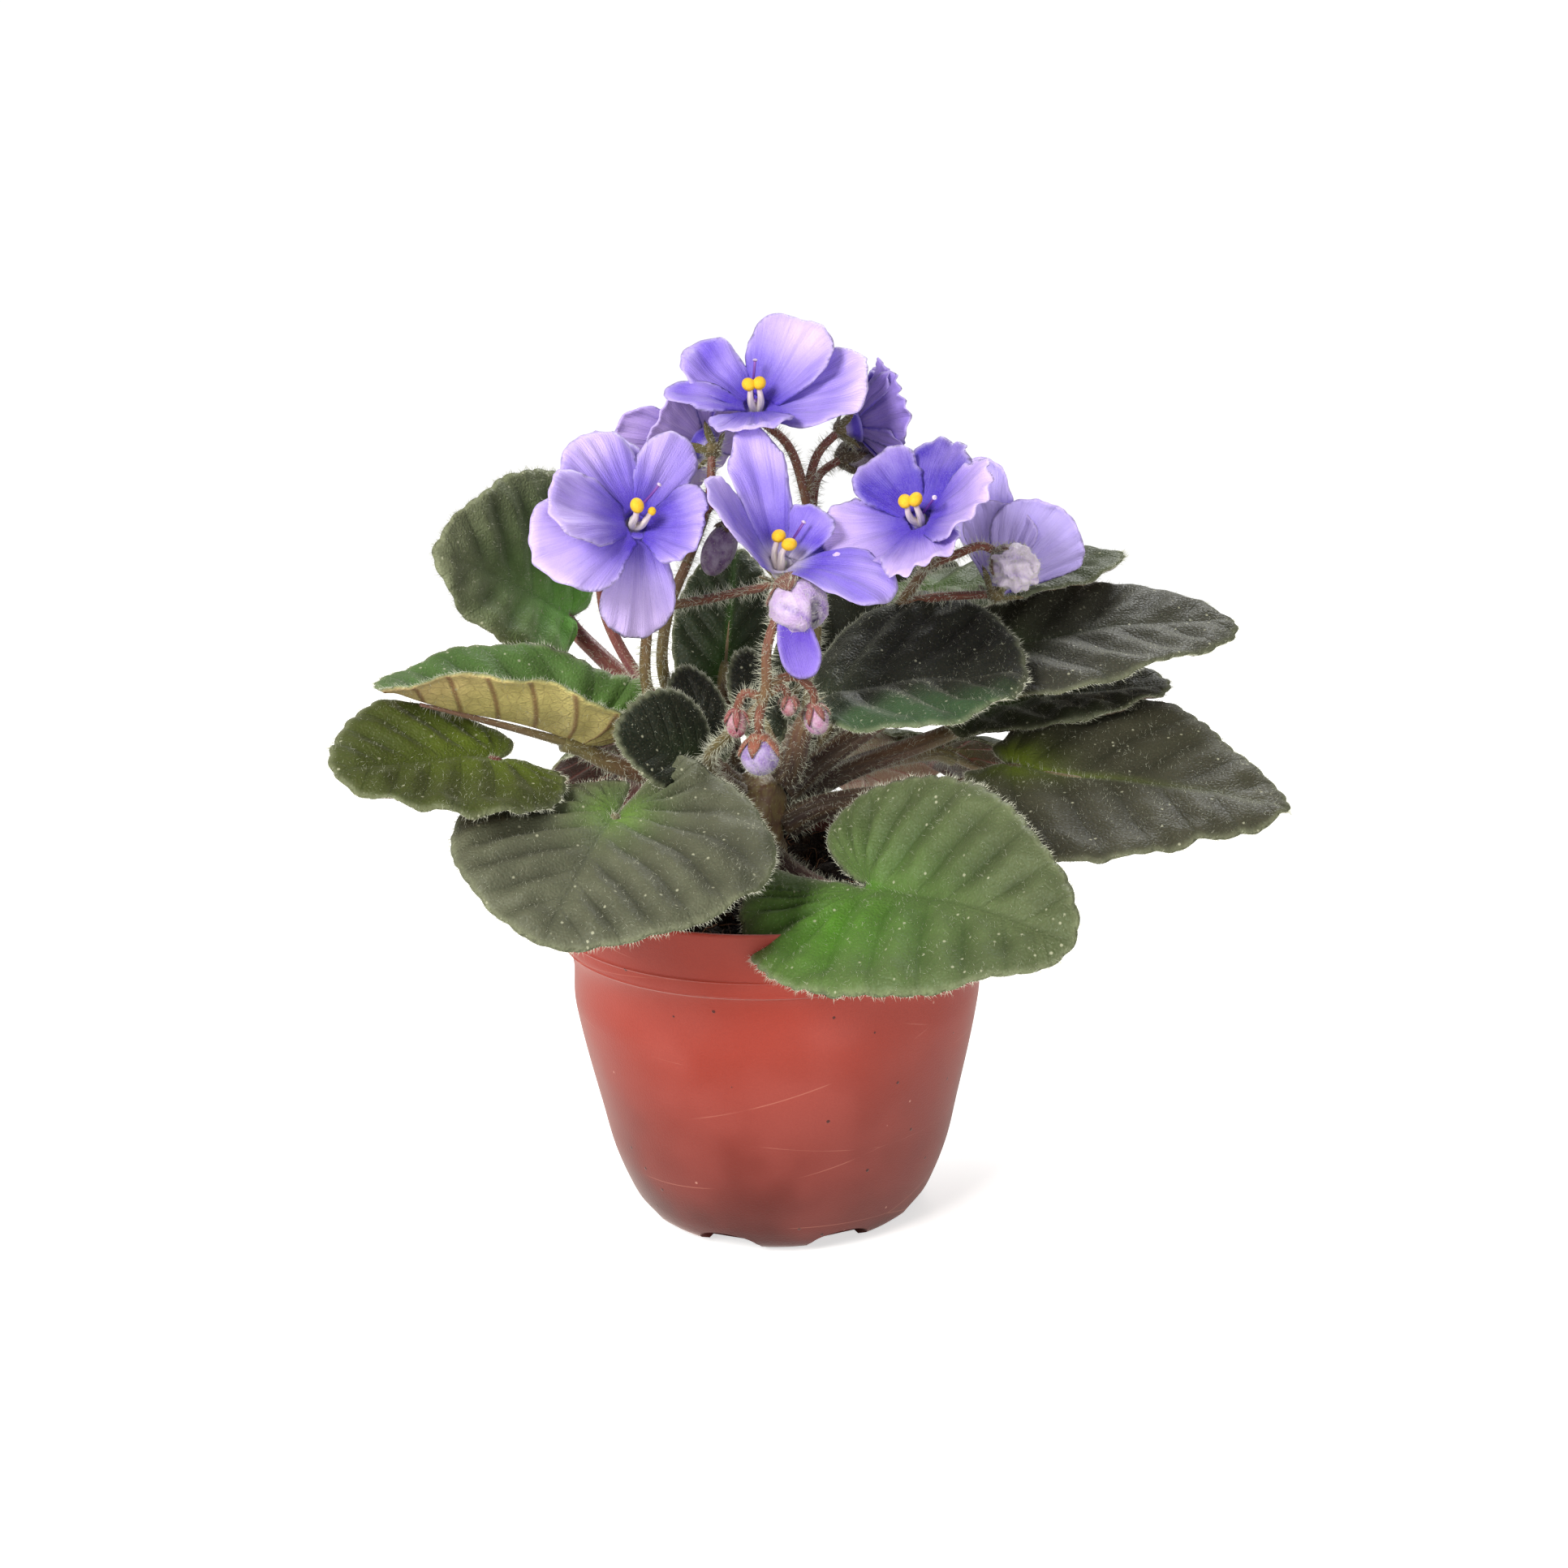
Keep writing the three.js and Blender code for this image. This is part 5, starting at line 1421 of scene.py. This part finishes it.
# %% [markdown]
# ### Stamens and pistils
# In the throat stand two fat yellow anthers, each split by a furrow that will open to shed pollen, on thick
# pale filaments that bow outwards like a lyre. The pistil is a downy green-white ovary with a thin violet
# style that leans out to one side and ends in a pale tip.

# %% Stamen materials
pollen, tree = new_material("anther")
place = place_in_mm(tree)
uneven = use(tree, mottle, Place=place, Patch_size=0.9, Grain_size=0.14)
tint = read(tree, "tint", "Color")
colour = washed(tree, uneven["Patches"], 0.4, tint, tinted(tree, 0.5, tint, shade(236, 140, 4)))
colour = washed(tree, uneven["Grain"], 0.3, colour, shade(255, 224, 96))
surface(tree, colour, 0.5, uneven["Grain"], 0.05, Specular_IOR_Level=0.4)

flesh, tree = new_material("filament and style")
around, along = read(tree, "turn"), read(tree, "share")
lines = use(tree, streaks, Across=around, Along=along, Fineness=1.6, Run=2.5)["Lines"]
tint = read(tree, "tint", "Color")
colour = washed(tree, lines, 0.4, tint, tinted(tree, 0.6, tint, shade(120, 70, 160)))
surface(tree, colour, ramp(tree, lines, 0, 1, 0.3, 0.45), lines, 0.05, Specular_IOR_Level=0.5,
        Coat_Weight=0.2, Coat_Roughness=0.2)
print("stamen materials ready")

# %% Stamens and pistils
# how far the pair of anthers leans over and spreads, the second anther's size, and the way the style leans
STAMENS = {
    "left": (-0.4, 0.5, 0.6, 0.2),
    "centre": (-0.9, 0.4, 1, 0),
    "top": (0.15, 0, 1, 0.9),
    "right": (0.25, 0, 1, -0.6),
}
OTHER_STAMENS = (0.1, 0, 1, 0)


def in_bloom(bloom, x, y, z):
    right, up, facing = bloom_axes(bloom)
    return np.array(bloom["at"]) + right * x + up * y + facing * z


def groove_at(turn):
    """1 along the groove down one side of an anther."""
    return bell(np.angle(np.exp(1j * (turn - 1.57))), 0.3)


def furrow(share, turn):
    """An anther's radius: full but for its groove, which closes at the foot."""
    return 1 - 0.24 * groove_at(turn) * smooth(share, 0, 0.2)


def stamen_layers(bloom, lean, spread, second):
    """Two anthers on their filaments. lean turns the pair about the way the bloom faces."""
    right, up, facing = bloom_axes(bloom)
    anthers, stalks = [], []
    cos, sin = math.cos(lean), math.sin(lean)
    for side in (-1, 1):
        def at(x, y, z, side=side):
            return in_bloom(bloom, cos * side * x - sin * y, sin * side * x + cos * y, z)
        centre = at(1.05 + spread, 0.6, 5.0 - spread * (side > 0))
        axes = np.array([cos * right + sin * up, facing, cos * up - sin * right])
        axes[2] = unit(axes[2] + 0.35 * side * axes[0])
        axes[0] = unit(axes[0] - axes[2] * (axes[0] @ axes[2]))
        axes[1] = np.cross(axes[2], axes[0])
        size = np.array([1.3, 1.15, 1.5]) * (second if side > 0 else 1)
        anthers.append(ball(centre, size, axes, 16, 24, furrow, lambda s, turn: mix(
            shade(252, 200, 16), shade(222, 132, 6), groove_at(turn))))
        bends = ((0.3, -0.5, -0.8), (0.9, -0.9, 1.2), (1.0, -0.8, 2.9), (0.8 + spread, 0.1, 4.4))
        bow = curve_through([at(*bend) for bend in bends], 0.22)
        stalks.append(tube(bow, np.linspace(0.85, 0.5, len(bow)), 12, lambda s, turn: mix(
            shade(232, 222, 206), shade(206, 176, 196), smooth(s, 0.5, 1.0) * 0.5)))
    return gather(anthers), gather(stalks)


for name, bloom in BLOOMS.items():
    *pair, way = STAMENS.get(name, OTHER_STAMENS)
    anthers, stalks = stamen_layers(bloom, *pair)
    piece("anthers_" + name, [(anthers, pollen), (stalks, flesh)], "stamens_" + name)
    ovary = ball(in_bloom(bloom, 0.1, 0.6, -0.3), (1.0, 1.0, 1.3), bloom_axes(bloom), 12, 18, None,
                 lambda s, turn: mix(shade(206, 214, 178), shade(150, 110, 190), smooth(s, 0.6, 1)))
    bends = [(0.9, 1.3, 0.6), (2.6, 0.92, 2.6), (4.0, 0.73, 4.6), (5.5, 0.66, 6.6)]
    bends = [(r * math.cos(a + way), r * math.sin(a + way), z) for r, a, z in bends]
    path = curve_through([in_bloom(bloom, *bend) for bend in bends], 0.25)
    style = tube(path, 0.26, 10,
                 lambda s, turn: mix(shade(112, 56, 158), shade(150, 96, 186), smooth(s, 0.7, 1)))
    tip = ball(path[-1], (0.5, 0.5, 0.34), turned_to(path[-1] - path[-3]), 10, 16, None,
               lambda s, turn: mix(shade(150, 100, 180), shade(226, 210, 232), smooth(s, 0.2, 0.7)))
    piece("style_" + name, [(gather([ovary, style, tip]), flesh)], "pistil_" + name)
print("stamens:", sum(added["anthers_" + n] for n in BLOOMS), "triangles")

# %% [markdown]
# ### Flower stalks, cups and buds
# Each flower stalk branches into thin stems that end in a green cup of five narrow sepals. Behind an open
# bloom the sepals spread against the petals, and on a bud they clasp it. A closed bud shows the seams of
# its rolled petals and a woolly coat. All these stems are hairy, and their hairs show best against the
# light.

# %% Stalk and bud numbers
STEM_R, PEDICEL_R = 1.45, 0.95
STALKS = {
    "flower_stalk_left": [
        (STEM_R, [(-11, -1, 86), (-22, -5, 104), (-24, -5, 112), (-23, -6, 124), (-22, -9, 134)], "left"),
    ],
    "flower_stalk_middle": [
        (STEM_R, [(-8, 8, 88), (-18, 6, 102), (-21, 2, 113), (-19, 2, 125), (-15, 4, 134), (-11, 9, 144)],
         "back_left"),
        (PEDICEL_R, [(-19, 2, 125), (-13, -2, 126.5), (-5, -8, 129), (0, -14, 131)], "centre"),
        (PEDICEL_R, [(-15.5, 3.5, 133), (-12, 5, 142), (-8.5, 5.5, 145)], "bud_drooping"),
    ],
    "flower_stalk_front": [
        (STEM_R, [(-9, -5, 87), (-12, -13, 97), (-7, -22, 105), (-1, -26, 112), (0, -26, 122)],
         "bud_opening"),
        (PEDICEL_R, [(-1, -26, 112), (-4.5, -25.5, 113)], "bud_small_left"),
        (PEDICEL_R, [(0, -26, 113), (2.4, -25, 114)], "bud_small_middle"),
        (PEDICEL_R, [(0, -26, 115), (5, -24, 115.5), (8.4, -23, 112)], "bud_small_right"),
        (PEDICEL_R, [(-1.2, -26, 111), (-2, -29, 109)], "bud_hanging"),
    ],
    "flower_stalk_top": [
        (STEM_R, [(5, 7, 90), (9, 10, 110), (10, 9, 130), (8, 8, 146), (5, 9, 155)], "top"),
        (PEDICEL_R, [(8.5, 8, 146), (11, 11, 153)], "top_right"),
        (PEDICEL_R, [(9.2, 8.5, 139), (11, 14, 148)], "bud_dark"),
    ],
    "flower_stalk_right": [
        (STEM_R, [(7, 5, 88), (16, 15, 104), (25, 17, 118), (31, 8, 129), (33, -2, 136)], "right"),
        (PEDICEL_R, [(27, 14.5, 122), (35, 9, 124)], "far_right"),
        (PEDICEL_R, [(31.5, 6, 130.5), (37, -1, 134), (42, -4, 136)], "bud_right"),
    ],
}
# at: middle; size: half lengths; to: the way it points; skin, seam, sepal: colours; clasp: how far up it the
# sepals reach; wool: hairs to a square mm; fur: their length; rumple: how lumpy it is; slit_shade: colour of
# the painted shade in the gap where it opens; flap: root, end and width of the petal that hangs out
BUDS = {
    "bud_right": dict(
        at=(48, -7, 132), size=(4.3, 4.3, 4.6), to=(0.55, -0.7, -0.45), skin=(226, 212, 232),
        seam=(160, 134, 196), clasp=1.15, wool=4.5, fur=0.8, rumple=0.12, sepal=(96, 72, 58),
    ),
    "bud_opening": dict(
        at=(6, -23, 128.5), size=(5.6, 5.4, 5.2), to=(0.3, -0.4, -0.8), skin=(196, 168, 214),
        seam=(110, 70, 176), clasp=1.0, wool=1.6, sepal=(128, 84, 74), rumple=0.03, slit_shade=(40, 18, 66),
        flap=((4.5, -25.5, 126), (7, -27, 116.5), 8),
    ),
    "bud_hanging": dict(
        at=(-2, -28.5, 101.5), size=(3.6, 3.6, 3.6), to=(0, -0.1, -1), skin=(152, 122, 190),
        seam=(92, 52, 150), clasp=1.5, wool=3.0, sepal=(150, 84, 66),
    ),
    "bud_small_left": dict(
        at=(-6.2, -25, 107), size=(2, 2, 2.7), to=(0, 0, -1), skin=(176, 84, 104), seam=(150, 50, 80),
        clasp=2.0, wool=5.0, sepal=(158, 78, 84),
    ),
    "bud_small_middle": dict(
        at=(3.6, -24.6, 110), size=(1.6, 1.6, 1.9), to=(0, 0, -1), skin=(170, 90, 104),
        seam=(150, 60, 80), clasp=2.0, wool=5.0, sepal=(150, 88, 84),
    ),
    "bud_small_right": dict(
        at=(8.8, -22.6, 106.8), size=(2.4, 2.4, 2.9), to=(0.2, 0, -1), skin=(190, 130, 170),
        seam=(140, 80, 150), clasp=1.7, wool=5.0, sepal=(150, 84, 84),
    ),
    "bud_dark": dict(
        at=(19.5, 20.5, 151.5), size=(3.6, 3.6, 4.4), to=(1, 0.6, 0.1), skin=(96, 76, 96),
        seam=(70, 50, 90), clasp=1.6, wool=3.0, sepal=(78, 66, 48),
    ),
    "bud_drooping": dict(
        at=(-9, 3.5, 135.5), size=(3.4, 3.2, 5.4), to=(-0.5, -0.2, -1), skin=(122, 92, 134),
        seam=(88, 60, 108), clasp=0.9, wool=1.0, sepal=(92, 76, 54),
    ),
}
print(len(STALKS), "flower stalks,", len(BUDS), "buds")

# %% Sepals and cups
def sepal_ring(centre, axes, radius, height, length, width, colour, rng, count=5):
    """Narrow pointed sepals around an axis. radius(s) and height(s) lead each one s millimetres from its
    root."""
    parts = []
    start = rng.uniform(0, 2 * np.pi)
    for i in range(count):
        angle = start + (i + rng.uniform(-0.12, 0.12)) / count * 2 * np.pi
        out = axes[0] * math.cos(angle) + axes[1] * math.sin(angle)
        side = axes[1] * math.cos(angle) - axes[0] * math.sin(angle)
        long = length * rng.uniform(0.85, 1.12)

        def lay(x, y, out=out, side=side):
            round_about = y**2 / (2 * (radius(x) + 0.6))
            return (centre + (radius(x) - round_about)[:, None] * out + y[:, None] * side
                    + height(x)[:, None] * axes[2])

        u = np.linspace(0, 1, 20)
        half = width / 2 * (0.75 + 0.5 * np.sin(u * np.pi)) * (1 - u**3)
        outline = strap(u * long, half)

        def lift(x, y, rim):
            return 0.16 * bell(y, 0.35)

        def values(x, y, rim, side, long=long):
            base = shade(*colour)
            tint = mix(base, base * 0.55 + shade(96, 44, 48) * 0.45, smooth(x, 0.5 * long, long))
            return {"tint": tint, "share": x / long, "turn": y * 2}

        parts.append(sheet(resample(outline, 0.28), 0.36, lay, lift, 0.4, values))
    return parts


def round_bud(bud):
    """The radius and height of a line just outside a bud's skin, s millimetres up from its sepals' roots."""
    wide, long = bud["size"][0] + 0.3, bud["size"][2] + 0.3

    def angle(s):
        return 0.35 + s / (0.5 * (wide + long))

    return (lambda s: wide * np.sin(angle(s))), (lambda s: -long * np.cos(angle(s)))


def cup(seat, size, axes, colour):
    """The swollen green end of a stem, from which the sepals rise."""
    return ball(seat, size, axes, 10, 20, None, lambda s, turn: np.tile(shade(*colour), (len(s), 1)))


def flower_stalk(name, branches):
    """All branches of one stalk with their cups and sepals, and their down."""
    rng = seeded(name)
    stems, cups = [], []
    # Painted shade: dark is the near black at the foot of each main stem, in the heart of the rosette.
    low, high, dark = shade(110, 98, 58), shade(122, 66, 54), shade(30, 22, 16)
    for radius, points, ends in branches:
        if ends in BLOOMS:
            axes = np.array(bloom_axes(BLOOMS[ends]))
            seat = np.array(BLOOMS[ends]["at"]) - 3.4 * axes[2]
            cups.append(cup(seat, (1.9, 1.9, 1.6), axes, (104, 92, 56)))
            cups += sepal_ring(seat, axes, lambda s: 1.4 + 0.72 * s - 0.01 * s**2,
                               lambda s: -0.5 + 0.62 * s - 0.02 * s**2, 6.4, 1.7, (104, 98, 58), rng)
        else:
            bud = BUDS[ends]
            axes = turned_to(bud["to"])
            seat = np.array(bud["at"]) - 0.95 * bud["size"][2] * axes[2]
            wide = bud["size"][0]
            cups.append(cup(seat, (0.6 * wide, 0.6 * wide, 0.34 * wide), axes, bud["sepal"]))
            cups += sepal_ring(np.array(bud["at"]), axes, *round_bud(bud), bud["clasp"] * wide, 0.62 * wide,
                               bud["sepal"], rng)
        path = curve_through([*points, seat], 0.9)
        share = np.linspace(0, 1, len(path))
        radii = radius + (min(radius, PEDICEL_R) * 0.85 - radius) * share
        start = 0 if radius == STEM_R else 0.55
        stems.append(tube(path, radii, 14, lambda s, t, start=start: mix(
            mix(dark, low, smooth(start + s, 0.02, 0.3)), high, smooth(start + s, 0.35, 0.95))))
    stalk = gather(stems + cups)
    piece(name + "_grown", [(stalk, stalk_skin)], name)
    down = [sprout(part, 3.0, 2.0, rng, None, 0.3, 0.1) for part in stems]
    down += [sprout(part, 3.6, 1.1, rng, None, 0.4, 0.075) for part in cups]
    piece(name + "_down", [(gather(down), white_hair)], None, False)


for name, branches in STALKS.items():
    flower_stalk(name, branches)
print("flower stalks:", sum(added[n + "_grown"] + added[n + "_down"] for n in STALKS), "triangles")

# %% Buds
bud_skin, tree = new_material("bud")
place = place_in_mm(tree)
uneven = use(tree, mottle, Place=place, Patch_size=1.8, Grain_size=0.3)
hairs = use(tree, down, Place=place, Spacing=0.4, Share=0.5)
tint = read(tree, "tint", "Color")
lit = tinted(tree, 0.3, tint, shade(240, 232, 244))
colour = tinted(tree, uneven["Patches"], tint, lit)
colour = washed(tree, hairs["Flecks"], 0.8, colour, lit)
surface(tree, colour, ramp(tree, uneven["Grain"], 0, 1, 0.5, 0.68), hairs["Nap"], 0.12, Sheen_Weight=0.4,
        Sheen_Roughness=0.4)


def grow_bud(name, bud):
    """A bud of rolled petals, with the petal that has opened where there is one."""
    rng = seeded(name)
    axes = turned_to(bud["to"])
    count = 5 if bud["size"][0] > 2.5 else 3
    twist, begin = rng.uniform(1.5, 2.4), rng.uniform(0, 6.28)

    def seam(share, turn):
        edge = np.abs(np.sin(count / 2 * (turn + begin + twist * share)))
        return (1 - edge) ** 3 * smooth(share, 0.25, 0.6)

    def push(share, turn):
        step = ((count * (turn + begin + twist * share) / (2 * np.pi)) % 1) - 0.5
        return 1 - 0.11 * seam(share, turn) + 0.05 * step * smooth(share, 0.3, 0.7)

    def paint(share, turn):
        tint = mix(shade(*bud["skin"]) * 0.9, shade(*bud["skin"]), smooth(share, 0, 0.6))
        return mix(tint, shade(*bud["seam"]), 0.85 * seam(share, turn))

    points, faces, marks = ball(bud["at"], bud["size"], axes, 30, 48, push, paint)
    middle = np.array(bud["at"], float)
    rumple = bud.get("rumple", 0) * waves(points, 2.2, seeded("rumple"))
    points = points + (points - middle) * rumple[:, None]
    # Painted shade: the gap where the bud opens is pushed in and painted dark.
    if "slit_shade" in bud:
        x, y, z = (points - middle).T
        beside = smooth(x, 1.9, 2.7) * smooth(-x, -4.6, -3.6) * smooth(-y, -0.5, 1.0)
        dark = beside * smooth(z, -5.2, -4.4) * smooth(-z, -3, -1)
        points = points - 0.12 * (points - middle) * dark[:, None]
        marks["tint"] = mix(marks["tint"], shade(*bud["slit_shade"]), dark)
    body = (points, faces, marks)
    layers = [(body, bud_skin)]
    down = [sprout(body, bud["wool"], bud.get("fur", 0.9), rng, None, 0.5, 0.065)]
    if "flap" in bud:
        root, end, width = (np.array(x, float) for x in bud["flap"])
        way = unit(end - root)
        length = np.linalg.norm(end - root) + 2
        right = unit(np.cross([0, -1, 0.2], way))
        front = np.cross(way, right)
        u = np.linspace(0, 1, 30)
        half = width / 2 * (0.62 + 0.38 * np.sin(u * np.pi * 0.8)) * np.sqrt(1 - u**6)
        outline = strap(u * length, half)

        def lay(x, y):
            out = 0.06 * (x - 0.3 * length) ** 2 / length * 3
            hollow = (out - 0.05 * y**2)[:, None]
            return root - way + x[:, None] * way - y[:, None] * right + hollow * -front

        def lift(x, y, rim):
            flat = np.stack([x, y], 1)
            return 0.35 * waves(flat, 5, seeded("flap")) * (1 - smooth(rim, 0, 2)) * smooth(x, 2, 6)

        def values(x, y, rim, side):
            tint = mix(shade(86, 48, 190), shade(150, 122, 232), smooth(x, 0.2 * length, length))
            # Painted highlight: a pale band along the margin.
            tint = mix(tint, shade(210, 190, 246), 0.5 * bell(rim, 0.5))
            return {"tint": tint, "along": x + 2, "fan": y * 1.2}

        layers.append((sheet(resample(outline, 0.4), 0.5, lay, lift, 0.5, values), petal_skin))
    piece(name + "_grown", layers, name)
    piece(name + "_down", [(gather(down), white_hair)], None, False)


for name, bud in BUDS.items():
    grow_bud(name, bud)
print("buds:", sum(added[n + "_grown"] + added[n + "_down"] for n in BUDS), "triangles")

# %% [markdown]
# ## The studio
# A pale round floor carries the pot and throws some light back at the undersides of the leaves and petals.
# To the camera it is made brighter than it is, with a little emission that no other ray sees, so it comes
# out as clean white with a soft shadow at the pot's foot. The sky does the same: the camera sees white,
# while the plant is lit by a softer grey. A large soft lamp stands in front at the upper left, a weaker one
# low at the right opens up the shaded petals, and one behind lights up the hairs along the edges.

# %% Floor and backdrop
pale, tree = new_material("pale floor")
is_seen = add(tree, "ShaderNodeLightPath").outputs["Is Camera Ray"]
shader = add(tree, "ShaderNodeBsdfPrincipled", {"Base Color": (0.75, 0.75, 0.75, 1), "Roughness": 0.9})
shader.inputs["Emission Color"].default_value = (1, 1, 1, 1)
tree.links.new(times(tree, is_seen, 0.6), shader.inputs["Emission Strength"])
tree.links.new(shader.outputs[0], tree.nodes.new("ShaderNodeOutputMaterial").inputs["Surface"])
pale.cycles.emission_sampling = "NONE"

FLOOR_RINGS, FLOOR_SIDES = (60, 200, 700), 96
turn = np.arange(FLOOR_SIDES) / FLOOR_SIDES * 2 * np.pi
rings = [np.stack([r * np.cos(turn), r * np.sin(turn), 0 * turn], 1) for r in FLOOR_RINGS]
points = np.vstack([*rings, [[0, 0, 0]]])
middle = len(points) - 1
faces = ring_faces(len(FLOOR_RINGS), FLOOR_SIDES, middle, middle)[:-FLOOR_SIDES]  # a disc has no second fan
mesh = bpy.data.meshes.new("studio_floor")
mesh.from_pydata(((points - [0, 0, 0.05]) * MM).tolist(), [], faces[:, ::-1].tolist())
mesh.materials.append(pale)
floor = bpy.data.objects.new("studio_floor", mesh)
bpy.context.scene.collection.objects.link(floor)
print("studio floor:", len(mesh.polygons), "faces")

# %% Lights
world = bpy.data.worlds.new("soft sky")
world.use_nodes = True
tree = world.node_tree
is_seen = add(tree, "ShaderNodeLightPath").outputs["Is Camera Ray"]
sky = tinted(tree, is_seen, (0.32, 0.316, 0.308), (1.05, 1.05, 1.05))
tree.links.new(sky, tree.nodes["Background"].inputs["Color"])
tree.nodes["Background"].inputs["Strength"].default_value = 1.0
world.cycles.sampling_method = "NONE"
bpy.context.scene.world = world


def lamp(name, place, power, size, tint):
    """A square soft lamp that faces the plant."""
    light = bpy.data.lights.new(name, "AREA")
    light.energy = power
    light.size = size
    light.color = tint
    made = bpy.data.objects.new(name, light)
    made.location = place
    made.rotation_euler = (Vector((0, 0, 0.1)) - made.location).to_track_quat("-Z", "Y").to_euler()
    bpy.context.scene.collection.objects.link(made)


lamp("key_lamp", (-0.7, -0.85, 0.8), 18, 0.5, (1.0, 0.98, 0.95))
lamp("rim_lamp", (0.35, 0.8, 0.9), 9, 0.4, (1.0, 1.0, 1.0))
lamp("fill_lamp", (0.55, -1.0, 0.15), 5, 0.7, (1.0, 0.99, 0.97))
bpy.context.scene.view_settings.view_transform = "Standard"

# %% [markdown]
# ## Triangle count
# The last step prints how many triangles were made, and in how many pieces.

# %% Count the triangles
print("triangles in all:", sum(added.values()), "in", len(added), "pieces")
